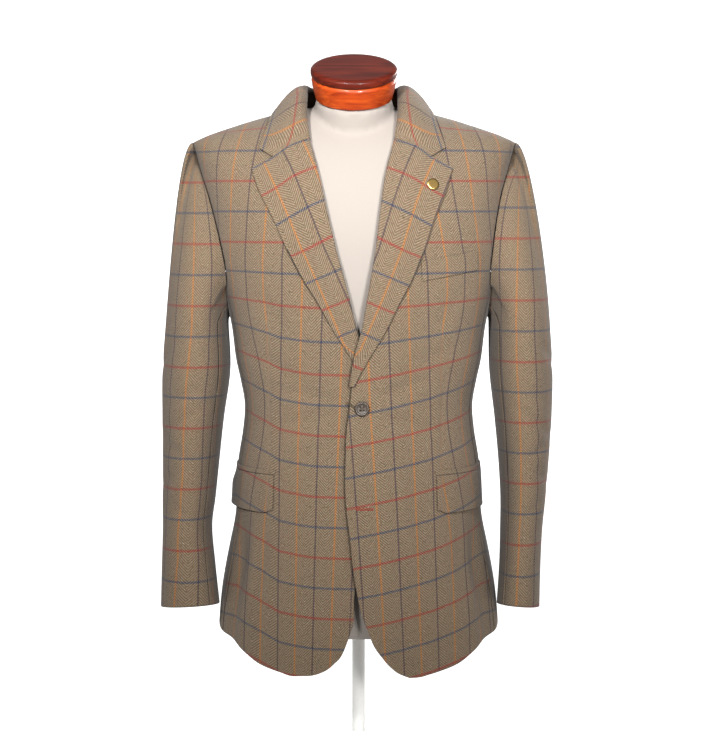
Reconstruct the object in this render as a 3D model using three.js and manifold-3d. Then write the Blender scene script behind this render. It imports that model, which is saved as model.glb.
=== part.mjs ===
// A tweed sport coat, single breasted with two buttons, on a limbless dress form with a turned stand.
// Millimetres, +Z up, the front faces -Y, and the wearer's left is +X.
// A height h is measured up from the level of the side hem, and the floor is at z = 0.
import * as THREE from 'three';
import { mergeVertices } from 'three/addons/utils/BufferGeometryUtils.js';
import Module from 'manifold-3d';

const wasm = await Module();
wasm.setup();

// Walls and clearances
const CLOTH = 2.0;
const COLLAR_CLOTH = 1.8;
const STAND_CLOTH = 1.5;
const POCKET_CLOTH = 1.4;
const SEAM_GAP = 0.4;
const LAY_GAP = 0.4;
const WRAP_GAP = 0.75;

// Levels of the coat and the form
const HEM_LEVEL = 195;
const CHEST_H = 535;
const SHOULDER_ARC = 253;
const RIDGE_W = CHEST_H + SHOULDER_ARC;
const RIDGE_Y = 8;
const FORM_BOTTOM_H = 10;
const FORM_SEAT = 2.9;
const SECTION_POWER = 2.4;
// Towards the shoulder tips the shoulder is rounder from front to back
const ROUND_FROM = 0.55;
const ROUND_POWER = 0.5;

// How far the shoulders and neck lean towards the wearer's right
const SWAY = -6;
const SWAY_FROM_H = 470;
const SWAY_TO_H = 650;

// Outer section of the coat at each height: half width and depths in front of and behind its middle
const BODY = [
  { h: -40, half: 197, front: 141, back: 129 },
  { h: 0, half: 195, front: 139, back: 128 },
  { h: 56, half: 189.5, front: 136, back: 127 },
  { h: 122, half: 178, front: 133, back: 125 },
  { h: 172, half: 170, front: 130, back: 121 },
  { h: 238, half: 167, front: 126, back: 111 },
  { h: 288, half: 159.4, front: 121, back: 100 },
  { h: 321, half: 157.3, front: 119, back: 97 },
  { h: 354, half: 162.8, front: 119, back: 99 },
  { h: 383, half: 169, front: 120, back: 102 },
  { h: 430, half: 175, front: 123, back: 108 },
  { h: 485, half: 187, front: 126, back: 113 },
  { h: 535, half: 197, front: 126, back: 115 },
];

// Section of the dress form at each height
const FORM = [
  { h: 10, half: 148, front: 108, back: 100 },
  { h: 60, half: 154, front: 114, back: 106 },
  { h: 150, half: 156, front: 116, back: 108 },
  { h: 238, half: 153, front: 112, back: 99 },
  { h: 321, half: 144, front: 105, back: 85 },
  { h: 383, half: 156, front: 106, back: 90 },
  { h: 430, half: 163, front: 109, back: 96 },
  { h: 485, half: 175, front: 113, back: 102 },
  { h: 535, half: 185, front: 114, back: 100 },
];

// Height of the shoulder ridge against the distance from the neck's middle
const RIDGE = [
  { x: 0, h: 729 },
  { x: 78, h: 728 },
  { x: 102, h: 719 },
  { x: 135, h: 710 },
  { x: 168, h: 699.5 },
  { x: 199, h: 688.5 },
  { x: 222, h: 678 },
  { x: 250, h: 662 },
];

// How much the section widens from the chest to the ridge
const FLARE = [
  { v: 0, scale: 1 },
  { v: 0.3, scale: 1.035 },
  { v: 0.6, scale: 1.085 },
  { v: 1, scale: 1.15 },
];

// Hem height against the angle round the body, 0 at the front and 180 at the back
const HEM = [
  { a: 0, h: -36 },
  { a: 22, h: -35 },
  { a: 34, h: -27 },
  { a: 41, h: -20 },
  { a: 48, h: -9 },
  { a: 58, h: 4 },
  { a: 75, h: 12 },
  { a: 90, h: 17 },
  { a: 120, h: 15 },
  { a: 180, h: 10 },
];

// Soft upright folds of the skirt at each side: angle, half width in degrees and depth
const SKIRT_FOLDS = [
  { a: 60, spread: 7, depth: -9 },
  { a: 98, spread: 11, depth: 3 },
  { a: 132, spread: 10, depth: -4 },
];
const FOLD_TOP_W = 195;
const FOLD_FULL_W = 95;
const FOLD_HEM_SHARE = 0.35;

// Seams round the body, in degrees
const FRONT_SEAM = 70;
const BACK_SEAM = 110;

// The closing line, the roll line on each side of it and the lapel's outer edge, by distance up the cloth
const CLOSING = [
  { w: 250, x: 3 },
  { w: 345, x: 2.5 },
  { w: 428, x: 1 },
  { w: 495, x: -1 },
  { w: 560, x: -2 },
  { w: 640, x: -2.5 },
  { w: 788, x: -2 },
];
const ROLL = [
  { w: 300, x: -14 },
  { w: 352, x: -11.3 },
  { w: 400, x: -2.5 },
  { w: 428, x: 5.9 },
  { w: 480, x: 17 },
  { w: 557, x: 34 },
  { w: 620, x: 47 },
  { w: 669, x: 59 },
  { w: 712, x: 64.5 },
  { w: 750, x: 70 },
  { w: 788, x: 76 },
];
const LAPEL_EDGE = [
  { w: 352, x: -8.5 },
  { w: 373, x: 1.5 },
  { w: 399, x: 16.5 },
  { w: 428, x: 34.3 },
  { w: 467, x: 55 },
  { w: 495, x: 71.6 },
  { w: 533, x: 89.4 },
  { w: 568, x: 104.5 },
  { w: 607, x: 123 },
  { w: 641, x: 133.4 },
];
// Past the gorge the front is cut back under the collar by this much
const NECK_CUT = 8;
const NECK_CUT_FROM_W = 636;
const NECK_CUT_TO_W = 661;
const BREAK_W = 354;
const GORGE_ROLL_W = 667;
const LAPEL_TIP_W = 640;

// Front edges from the hem to the waist
const LEFT_EDGE = [
  { x: 67.5, h: -34.7 },
  { x: 52, h: -27.4 },
  { x: 40, h: -17 },
  { x: 30.2, h: -5 },
  { x: 20.2, h: 9.5 },
  { x: 11.9, h: 30.6 },
  { x: 2.5, h: 57 },
  { x: -6.6, h: 108 },
  { x: -11.3, h: 152 },
  { x: -17.2, h: 211 },
  { x: -16.6, h: 273 },
];
const RIGHT_EDGE = [
  { x: -77.5, h: -33 },
  { x: -60, h: -31.3 },
  { x: -43.5, h: -24.7 },
  { x: -32.4, h: -15.5 },
  { x: -22, h: -3.6 },
  { x: -11.3, h: 24 },
  { x: -6, h: 44 },
  { x: -5, h: 78 },
  { x: 6, h: 120 },
  { x: 14, h: 200 },
  { x: 16, h: 273 },
];
const EDGE_TOP_W = 273;

// The left front stands off the right front, to lap over it and its button
const LAP = 8.5;
const LAP_FULL_X = 25;
const LAP_END_X = 95;
const LAP_FULL_W = 435;
const LAP_END_W = 600;

// Armhole edge on the front and back, by distance up the cloth, and under the arm by angle
const ARMHOLE = [
  { w: 485, frontX: 178, backX: 178.5 },
  { w: 513, frontX: 179.5, backX: 179 },
  { w: 535, frontX: 183, backX: 180 },
  { w: 556, frontX: 186.5, backX: 182 },
  { w: 603, frontX: 196, backX: 190 },
  { w: 657, frontX: 208.5, backX: 203 },
  { w: 702, frontX: 216, backX: 213 },
  { w: 788, frontX: 222, backX: 222 },
];
const UNDERARM = [
  { a: 70, w: 485 },
  { a: 76, w: 458 },
  { a: 84, w: 443 },
  { a: 92, w: 440 },
  { a: 100, w: 447 },
  { a: 106, w: 463 },
  { a: 110, w: 485 },
];

// The armhole round the clock for the sleeve: 0 at the shoulder, 90 at the front, 180 under the arm
const SLEEVE_HEAD = [
  { turn: 0, w: 788 },
  { turn: 35, w: 702 },
  { turn: 60, w: 640 },
  { turn: 90, w: 560 },
  { turn: 118, w: 485 },
  { turn: 242, w: 485 },
  { turn: 270, w: 560 },
  { turn: 300, w: 640 },
  { turn: 325, w: 702 },
  { turn: 360, w: 788 },
];

// Sleeve sections below the underarm: outer and inner edge of each sleeve, front and back depth
const SLEEVE = [
  { h: 48, outerR: 271.5, innerR: 191, outerL: 248.4, innerL: 190, front: -95, back: 6 },
  { h: 100, outerR: 271, innerR: 197.5, outerL: 250.5, innerL: 194, front: -84, back: 22 },
  { h: 150, outerR: 270.5, innerR: 202.5, outerL: 254, innerL: 196, front: -74, back: 40 },
  { h: 190, outerR: 271, innerR: 198, outerL: 258.5, innerL: 196.5, front: -71, back: 50 },
  { h: 240, outerR: 271, innerR: 193, outerL: 263, innerL: 194, front: -69, back: 62 },
  { h: 300, outerR: 271.5, innerR: 186.5, outerL: 267, innerL: 188.5, front: -71, back: 71 },
  { h: 366, outerR: 271, innerR: 177.5, outerL: 268, innerL: 181, front: -75, back: 77 },
  { h: 430, outerR: 266, innerR: 179.5, outerL: 264, innerL: 179.5, front: -76, back: 78 },
];
const SLEEVE_TOP_H = 430;
const CUFF_H = 46;
const CUFF_FRONT_RISE = 6;
const CUFF_INNER_RISE = 2;
const INNER_SEAM_TURN = 138;
const ELBOW_SEAM_TOP = 252;
const ELBOW_SEAM_CUFF = 318;
const SLEEVE_GAP_TURN = 0.25;
// The share of the sleeve's rows above the underarm
const HEAD_SHARE = 0.38;
// How far the sleeve's top edge stands off the armhole's edge, at the shoulder and under the arm
const SEAT_OUT = { top: 1.6, under: 0.8 };
const SEAT_UP = { top: 0.8, under: 1.1 };
// The head leaves the armhole outward and a little down, with this pull, and arrives with a share of its fall
const LEAVE = {
  outUnder: 0.9, outTop: 1, forward: -0.45, downUnder: -0.15, downTop: -0.12, pullUnder: 7, pullTop: 54,
};
const ARRIVE = { least: 6, under: 0.9, top: 1.2 };

// Collar stations from the gorge to the middle of the back. A g past 788 is on the back.
const COLLAR = [
  { q: 0, baseX: 66, baseG: 669, rollX: 59, rollG: 671, rollLift: 0, midX: 105, midG: 652, midLift: 1.6,
    leafX: 124, leafG: 671 },
  { q: 0.2, baseX: 69.5, baseG: 712, rollX: 63, rollG: 714, rollLift: 6.5, midX: 99, midG: 690, midLift: 6,
    leafX: 117, leafG: 703 },
  { q: 0.38, baseX: 75.5, baseG: 750, rollX: 63, rollG: 752, rollLift: 16, midX: 92, midG: 744, midLift: 10,
    leafX: 111, leafG: 744 },
  { q: 0.52, baseX: 81.5, baseG: 788, rollX: 63, rollG: 788, rollLift: 24, midX: 91, midG: 788, midLift: 14,
    leafX: 106, leafG: 788 },
  { q: 0.68, baseX: 76, baseG: 818, rollX: 60, rollG: 812, rollLift: 27, midX: 80, midG: 834, midLift: 17,
    leafX: 90, leafG: 842 },
  { q: 0.84, baseX: 45, baseG: 853, rollX: 38, rollG: 834, rollLift: 28, midX: 50, midG: 862, midLift: 17,
    leafX: 55, leafG: 878 },
  { q: 1, baseX: 0, baseG: 859, rollX: 0, rollG: 836, rollLift: 28, midX: 0, midG: 866, midLift: 17,
    leafX: 0, leafG: 884 },
];
const STAND_START_Q = 0.16;
const LEAF_LIFT = 1.9;

// Pockets, by height, and by angle round the body or distance from the middle
// The right flap's lower back corner flares off the coat
const FLAP = {
  top: 233, bottom: 182, backAngle: 93, corner: 5, kick: 1.1,
  leftX: 104, rightX: 113, leftFlare: 0, rightFlare: 5,
};
const JET = { bottom: 233.6, top: 240, lift: 0.4, cloth: 1.2 };
const WELT = { innerX: 84, outerX: 159, topInner: 519, slope: 0.187, depth: 26, clear: 0.3 };

// Buttons and pin
const BUTTON_SEAT = 0.6;
const FRONT_BUTTON = { x: 4.6, w: 324.5, radius: 9.8, thick: 3.6, seat: 0.7 };
const LOWER_BUTTON = { x: 0, w: 190, radius: 9.8, thick: 3.2, seat: -0.1 };
const SLEEVE_BUTTON = { radius: 7.2, thick: 3.2, turn: 333, lowest: 82, pitch: 15, count: 4 };
const PIN = { x: 102.8, w: 612, radius: 8, thick: 1.8, clear: 1 };

// Dress form neck, cap and stand
const NECK = { x: -6.2, tilt: 23, capY: -46, capH: 778.5, baseRadius: 54, topRadius: 52, reach: 118 };
const CAP = { radius: 58.6, topThick: 12, bandHeight: 31, bandFoot: 52, gap: 0.3 };
const POLE_RADIUS = 9;
const BASE = { radius: 130, thick: 14, edge: 5 };

// Helpers for numbers and tables
const radians = (degrees) => degrees * Math.PI / 180;
const clamp01 = (value) => Math.min(1, Math.max(0, value));
const smooth = (value) => {
  const t = clamp01(value);
  return t * t * (3 - 2 * t);
};
const mix = (a, b, t) => a + (b - a) * t;

// A smooth curve through one column of a table, against another column
function read(rows, key, column, at) {
  const last = rows.length - 1;
  if (at <= rows[0][key]) return rows[0][column];
  if (at >= rows[last][key]) return rows[last][column];
  let i = 0;
  while (rows[i + 1][key] < at) i += 1;
  const slope = (j) => {
    const before = rows[Math.max(j - 1, 0)];
    const after = rows[Math.min(j + 1, last)];
    return (after[column] - before[column]) / (after[key] - before[key]);
  };
  const from = rows[i];
  const to = rows[i + 1];
  const span = to[key] - from[key];
  const t = (at - from[key]) / span;
  const t2 = t * t;
  const t3 = t2 * t;
  return (2 * t3 - 3 * t2 + 1) * from[column] + (t3 - 2 * t2 + t) * span * slope(i)
    + (3 * t2 - 2 * t3) * to[column] + (t3 - t2) * span * slope(i + 1);
}

// A point part of the way along a table of points, by row
function along(rows, columns, t) {
  const counted = rows.map((row, i) => ({ ...row, place: i / (rows.length - 1) }));
  return columns.map((column) => read(counted, 'place', column, t));
}

// The coat's outer surface. Up to the chest w is the height; above it w runs on over the shoulder.
const sway = (h) => SWAY * smooth((h - SWAY_FROM_H) / (SWAY_TO_H - SWAY_FROM_H));
const shoulderShare = (w) => clamp01((w - CHEST_H) / SHOULDER_ARC);

function foldDepth(degrees, w) {
  const fade = w > FOLD_FULL_W
    ? smooth((FOLD_TOP_W - w) / (FOLD_TOP_W - FOLD_FULL_W))
    : mix(FOLD_HEM_SHARE, 1, smooth((w + 20) / (FOLD_FULL_W + 20)));
  return fade * SKIRT_FOLDS.reduce((sum, fold) => {
    const off = (degrees - fold.a) / fold.spread;
    return sum + fold.depth * Math.exp(-off * off);
  }, 0);
}

function surface(rows, seat, angle, w, folds = 0) {
  const side = angle < 0 ? -1 : 1;
  const degrees = Math.abs(angle);
  const level = Math.min(w, CHEST_H);
  const half = read(rows, 'h', 'half', level);
  const depth = read(rows, 'h', degrees < 90 ? 'front' : 'back', level);
  const s = Math.sin(radians(degrees));
  const c = Math.cos(radians(degrees));
  const k = (Math.abs(s) ** SECTION_POWER + Math.abs(c) ** SECTION_POWER) ** (-1 / SECTION_POWER);
  const swell = 1 + folds * foldDepth(degrees, w) / half;
  const x = side * half * s * k * swell;
  const y = -depth * c * k * swell;
  if (w <= CHEST_H) {
    return new THREE.Vector3(x + sway(w), y, w + HEM_LEVEL);
  }
  const v = shoulderShare(w);
  const wide = x * read(FLARE, 'v', 'scale', v);
  const ridge = read(RIDGE, 'x', 'h', Math.abs(wide)) - seat;
  const h = CHEST_H + (ridge - CHEST_H) * Math.sin(v * Math.PI / 2);
  const outwardShare = smooth((Math.abs(x) / half - ROUND_FROM) / (1 - ROUND_FROM));
  const power = mix(1, ROUND_POWER, outwardShare);
  const deep = RIDGE_Y + (y - RIDGE_Y) * Math.cos(v * Math.PI / 2) ** power;
  return new THREE.Vector3(wide + sway(h), deep, h + HEM_LEVEL);
}

const coat = (angle, w) => surface(BODY, 0, angle, w, 1);

function coatNormal(angle, w) {
  const step = 0.4;
  const top = Math.min(w, RIDGE_W - 0.6);
  const around = coat(angle + step, top).sub(coat(angle - step, top));
  const upward = coat(angle, top + step).sub(coat(angle, top - step));
  return around.cross(upward).normalize();
}

// The angle at which the surface has a given distance from its middle
function angleAt(x, w, back = false) {
  const flat = Math.abs(x) / read(FLARE, 'v', 'scale', shoulderShare(w));
  const share = Math.min(0.9999, flat / read(BODY, 'h', 'half', Math.min(w, CHEST_H)));
  const rest = (1 - share ** SECTION_POWER) ** (1 / SECTION_POWER);
  const degrees = Math.atan2(share, rest) * 180 / Math.PI;
  return Math.sign(x || 1) * (back ? 180 - degrees : degrees);
}

// A place on the coat, moved out by a lift along the cloth's normal
function lifted(angle, w, lift) {
  return coat(angle, w).addScaledVector(coatNormal(angle, w), lift);
}

// Closed walls
function closedGeometry(outer, inner, wrap) {
  const rows = outer.length;
  const columns = outer[0].length;
  const positions = [];
  outer.forEach((row) => row.forEach((p) => positions.push(p.x, p.y, p.z)));
  inner.forEach((row) => row.forEach((p) => positions.push(p.x, p.y, p.z)));
  const out = (i, j) => i * columns + (j % columns);
  const into = (i, j) => rows * columns + i * columns + (j % columns);
  const index = [];
  const quad = (a, b, c, d) => index.push(a, b, c, a, c, d);
  const spans = wrap ? columns : columns - 1;
  for (let i = 0; i < rows - 1; i += 1) {
    for (let j = 0; j < spans; j += 1) {
      quad(out(i, j), out(i, j + 1), out(i + 1, j + 1), out(i + 1, j));
      quad(into(i, j), into(i + 1, j), into(i + 1, j + 1), into(i, j + 1));
    }
  }
  for (let j = 0; j < spans; j += 1) {
    quad(out(0, j), into(0, j), into(0, j + 1), out(0, j + 1));
    quad(out(rows - 1, j), out(rows - 1, j + 1), into(rows - 1, j + 1), into(rows - 1, j));
  }
  if (!wrap) {
    for (let i = 0; i < rows - 1; i += 1) {
      quad(out(i, 0), out(i + 1, 0), into(i + 1, 0), into(i, 0));
      quad(out(i, columns - 1), into(i, columns - 1), into(i + 1, columns - 1), out(i + 1, columns - 1));
    }
  }
  const geometry = new THREE.BufferGeometry();
  geometry.setAttribute('position', new THREE.Float32BufferAttribute(positions, 3));
  geometry.setIndex(index);
  return outward(geometry);
}

// Turns a closed mesh so that its faces point out
function outward(geometry) {
  const p = geometry.attributes.position;
  const index = geometry.index.array;
  let volume = 0;
  const a = new THREE.Vector3();
  const b = new THREE.Vector3();
  const c = new THREE.Vector3();
  for (let i = 0; i < index.length; i += 3) {
    a.fromBufferAttribute(p, index[i]);
    b.fromBufferAttribute(p, index[i + 1]);
    c.fromBufferAttribute(p, index[i + 2]);
    volume += a.dot(b.cross(c));
  }
  if (volume < 0) {
    for (let i = 0; i < index.length; i += 3) {
      const swap = index[i + 1];
      index[i + 1] = index[i + 2];
      index[i + 2] = swap;
    }
  }
  geometry.computeVertexNormals();
  return geometry;
}

// A panel of the body: place(s, t) gives an angle and a w, and lift(s, t) how far its outside stands off
function panel(columns, rows, place, cloth = CLOTH, lift = () => 0) {
  const outer = [];
  const inner = [];
  for (let i = 0; i <= rows; i += 1) {
    const outerRow = [];
    const innerRow = [];
    for (let j = 0; j <= columns; j += 1) {
      const s = j / columns;
      const t = i / rows;
      const [angle, w] = place(s, t);
      const rise = lift(s, t, angle, w);
      outerRow.push(lifted(angle, w, rise));
      innerRow.push(lifted(angle, w, rise - cloth));
    }
    outer.push(outerRow);
    inner.push(innerRow);
  }
  return closedGeometry(outer, inner, false);
}

// A wall on a grid of points: its two skins stand off the grid by these amounts along the grid's normals
function gridWall(points, outerOff, innerOff) {
  const rows = points.length;
  const columns = points[0].length;
  const skin = (off) => points.map((row, i) => row.map((p, j) => {
    const next = points[Math.min(i + 1, rows - 1)][j].clone().sub(points[Math.max(i - 1, 0)][j]);
    const over = points[i][Math.min(j + 1, columns - 1)].clone().sub(points[i][Math.max(j - 1, 0)]);
    return p.clone().addScaledVector(over.cross(next).normalize(), off);
  }));
  return closedGeometry(skin(outerOff), skin(innerOff), false);
}

// Body panels share their levels at the seams: hem to waist, waist to underarm, underarm to chest
const WAIST_ROWS = 6;
const UNDERARM_ROWS = 5;
const CHEST_ROWS = 1;
const SHOULDER_ROWS = 10;
const BACK_NECK_ROWS = 7;
const BACK_SHOULDER_ROWS = 4;
const UNDERARM_W = 485;

// Finds the stretch of a ladder of row counts that a share falls in, and the place in that stretch
function rung(counts, t) {
  const total = counts.reduce((sum, count) => sum + count, 0);
  let row = t * total;
  let k = 0;
  while (k < counts.length - 1 && row > counts[k] + 1e-6) {
    row -= counts[k];
    k += 1;
  }
  return [k, row / counts[k]];
}

const hemAt = (angle) => read(HEM, 'a', 'h', Math.abs(angle));
const rollX = (side, w) => read(CLOSING, 'w', 'x', w) + side * read(ROLL, 'w', 'x', w);
const lapelX = (side, w) => read(CLOSING, 'w', 'x', w) + side * read(LAPEL_EDGE, 'w', 'x', w);

function lapLift(side, angle, w) {
  if (side < 0) return 0;
  const x = coat(angle, w).x - sway(w);
  const across = 1 - smooth((x - LAP_FULL_X) / (LAP_END_X - LAP_FULL_X));
  const up = 1 - smooth((w - LAP_FULL_W) / (LAP_END_W - LAP_FULL_W));
  return LAP * across * up;
}

// Half a seam's gap as an angle, at the body's usual half width
const USUAL_HALF_WIDTH = 170;
const SEAM_TURN = SEAM_GAP / 2 / USUAL_HALF_WIDTH * 180 / Math.PI;

function armholeAngle(w, back) {
  if (w < UNDERARM[0].w) return back ? BACK_SEAM : FRONT_SEAM;
  return Math.abs(angleAt(read(ARMHOLE, 'w', back ? 'backX' : 'frontX', w), w, back));
}

// The front below the waist is spanned between its edge, the hem, the side seam and the waist line
function lowerFront(side, s, t) {
  const table = side > 0 ? LEFT_EDGE : RIGHT_EDGE;
  const seam = FRONT_SEAM - SEAM_TURN;
  const edge = (u) => {
    const [x, h] = along(table, ['x', 'h'], u);
    return [angleAt(x, h), h];
  };
  const corner = edge(0);
  const waist = edge(1);
  const hem = (u) => {
    const angle = mix(corner[0], side * seam, u);
    const blend = smooth(u * 6);
    return [angle, mix(mix(corner[1], hemAt(corner[0]), blend), hemAt(angle), blend)];
  };
  const sideHem = hemAt(seam);
  const seamLine = (u) => [side * seam, mix(sideHem, EDGE_TOP_W, u)];
  const waistLine = (u) => [mix(waist[0], side * seam, u), EDGE_TOP_W];
  const e = edge(t);
  const g = seamLine(t);
  const b = hem(s);
  const u = waistLine(s);
  return [0, 1].map((k) => {
    const corners = (1 - s) * (1 - t) * corner[k] + s * (1 - t) * hem(1)[k]
      + (1 - s) * t * waist[k] + s * t * seamLine(1)[k];
    return (1 - s) * e[k] + s * g[k] + (1 - t) * b[k] + t * u[k] - corners;
  });
}

// The front's inner edge above the waist turns from the closing edge into the roll line over this distance
const EDGE_BLEND = 75;

function innerEdgeX(side, w) {
  const [edgeX] = along(side > 0 ? LEFT_EDGE : RIGHT_EDGE, ['x', 'h'], 1);
  const cut = NECK_CUT * smooth((w - NECK_CUT_FROM_W) / (NECK_CUT_TO_W - NECK_CUT_FROM_W));
  const roll = rollX(side, w) + side * cut;
  return mix(edgeX, roll, smooth((w - EDGE_TOP_W) / EDGE_BLEND));
}

// The last row stops short of the ridge, by more at the narrow shoulder tip
const RIDGE_STOP = { neck: 0.4, tip: 1.1 };
const ridgeLine = (s) => RIDGE_W - mix(RIDGE_STOP.neck, RIDGE_STOP.tip, s);

const FRONT_LADDER = [WAIST_ROWS, UNDERARM_ROWS, CHEST_ROWS, SHOULDER_ROWS];

function frontPlace(side, s, t) {
  const [stretch, u] = rung(FRONT_LADDER, t);
  if (stretch === 0) return lowerFront(side, s, u);
  const levels = [0, EDGE_TOP_W, UNDERARM_W, CHEST_H, ridgeLine(s)];
  const w = mix(levels[stretch], levels[stretch + 1], u);
  const inner = angleAt(innerEdgeX(side, w), w);
  const outer = side * (armholeAngle(w, false) - SEAM_TURN);
  return [mix(inner, outer, s), w];
}

const SIDE_LADDER = [WAIST_ROWS, UNDERARM_ROWS];

function sidePlace(side, s, t) {
  const [stretch, u] = rung(SIDE_LADDER, t);
  const angle = mix(FRONT_SEAM + SEAM_TURN, BACK_SEAM - SEAM_TURN, s);
  const levels = [hemAt(angle), EDGE_TOP_W, read(UNDERARM, 'a', 'w', angle) - SEAM_GAP];
  return [side * angle, mix(levels[stretch], levels[stretch + 1], u)];
}

const NECK_SEAM_BACK = COLLAR.filter((row) => row.baseG >= RIDGE_W)
  .map((row) => ({ w: 2 * RIDGE_W - row.baseG, x: row.baseX }))
  .reverse();

const BACK_LADDER = [WAIST_ROWS, UNDERARM_ROWS, CHEST_ROWS, BACK_NECK_ROWS, BACK_SHOULDER_ROWS];

const CENTRE_GAP_TURN = 0.1;

function backPlace(side, s, t) {
  const [stretch, u] = rung(BACK_LADDER, t);
  const neckW = NECK_SEAM_BACK[0].w;
  const probe = mix(180, BACK_SEAM + SEAM_TURN, s);
  const levels = [hemAt(probe), EDGE_TOP_W, UNDERARM_W, CHEST_H, neckW, ridgeLine(s)];
  const w = mix(levels[stretch], levels[stretch + 1], u);
  const outer = armholeAngle(w, true) + SEAM_TURN;
  const neckX = read(NECK_SEAM_BACK, 'w', 'x', w) + SEAM_GAP;
  const inner = w > neckW ? Math.abs(angleAt(neckX, w, true)) : 180 - CENTRE_GAP_TURN;
  return [side * mix(inner, outer, s), w];
}

const rowsOf = (ladder) => ladder.reduce((sum, count) => sum + count, 0);
const front = (side) => panel(11, rowsOf(FRONT_LADDER), (s, t) => frontPlace(side, s, t), CLOTH,
  (s, t, angle, w) => lapLift(side, angle, w));
const sidePanel = (side) => panel(5, rowsOf(SIDE_LADDER), (s, t) => sidePlace(side, s, t));
const back = (side) => panel(8, rowsOf(BACK_LADDER), (s, t) => backPlace(side, s, t));

// Lapel: turned back from the roll line, wrapping the edge of the front, with a soft bulge near the roll
const LAPEL = { leg: 4, bulge: 2.6, bulgeFullWidth: 90, lift: 1.5, liftFullWidth: 70, spans: 7 };

function lapel(side) {
  const rows = 15;
  const turnRadius = CLOTH / 2 + WRAP_GAP + COLLAR_CLOTH;
  const points = [];
  for (let i = 0; i <= rows; i += 1) {
    const t = i / rows;
    const rollW = mix(BREAK_W, GORGE_ROLL_W, t);
    const edgeW = mix(BREAK_W, LAPEL_TIP_W, t);
    const fromX = rollX(side, rollW);
    const toX = lapelX(side, edgeW);
    const width = Math.abs(toX - fromX);
    const bulge = LAPEL.bulge * smooth(width / LAPEL.bulgeFullWidth);
    const lift = LAPEL.lift * smooth(width / LAPEL.liftFullWidth);
    const row = [];
    const add = (across, depth) => {
      const share = clamp01(across / Math.max(width, 1));
      const w = mix(rollW, edgeW, share);
      const angle = angleAt(fromX + side * across, w);
      row.push(lifted(angle, w, depth - CLOTH / 2 + lapLift(side, angle, w)));
    };
    add(LAPEL.leg, -turnRadius);
    for (let k = 0; k <= 3; k += 1) {
      const turn = -Math.PI / 2 + k * Math.PI / 3;
      add(-turnRadius * Math.cos(turn), turnRadius * Math.sin(turn));
    }
    for (let k = 1; k <= LAPEL.spans; k += 1) {
      const share = k / LAPEL.spans;
      const soft = bulge * Math.sin(Math.PI * clamp01(share * 1.6)) + lift * smooth(share * 2);
      add(share * width, turnRadius + soft);
    }
    points.push(row);
  }
  return gridWall(points, 0, -side * COLLAR_CLOTH);
}

// Collar: a stand on the neck seam and a fall that wraps the stand's top and lies on the shoulders
function onNeck(side, x, g, lift) {
  const isBack = g > RIDGE_W;
  const w = isBack ? 2 * RIDGE_W - g : g;
  const shift = read(CLOSING, 'w', 'x', Math.min(w, RIDGE_W)) * (isBack ? 0 : 1);
  const angle = angleAt(side * Math.max(x, 0.01) + shift, w, isBack);
  return lifted(angle, w, lift);
}

const collarAt = (q, column) => read(COLLAR, 'q', column, q);

function collarRow(side, q) {
  const base = onNeck(side, collarAt(q, 'baseX'), collarAt(q, 'baseG'), -CLOTH / 2);
  const top = onNeck(side, collarAt(q, 'rollX'), collarAt(q, 'rollG'), collarAt(q, 'rollLift') - CLOTH / 2);
  return { base, top };
}

function collarStations(count, from) {
  const stations = [];
  for (let i = 0; i <= count; i += 1) stations.push([1, mix(from, 1, i / count)]);
  for (let i = count - 1; i >= 0; i -= 1) stations.push([-1, mix(from, 1, i / count)]);
  return stations;
}

// The stand starts just clear of the neck seam
const STAND_SEAT = 1.6;

function collarStand() {
  const points = collarStations(11, STAND_START_Q).map(([side, q]) => {
    const { base, top } = collarRow(side, q);
    const up = top.clone().sub(base);
    const length = up.length();
    up.normalize();
    return [0, 0.5, 1].map((t) => base.clone().addScaledVector(up, mix(STAND_SEAT, length, t)));
  });
  return gridWall(points, STAND_CLOTH / 2, -STAND_CLOTH / 2);
}

// The fall wraps the stand's top by an angle that grows towards the back, and lies flat at the gorge
const FALL = {
  leg: 4, wrapAtGorge: 165, wrapBehind: 90, flatShare: 0.17, lead: 0.45,
  spans: 7, rollSpans: 4, rollClear: 1.6,
};

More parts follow.
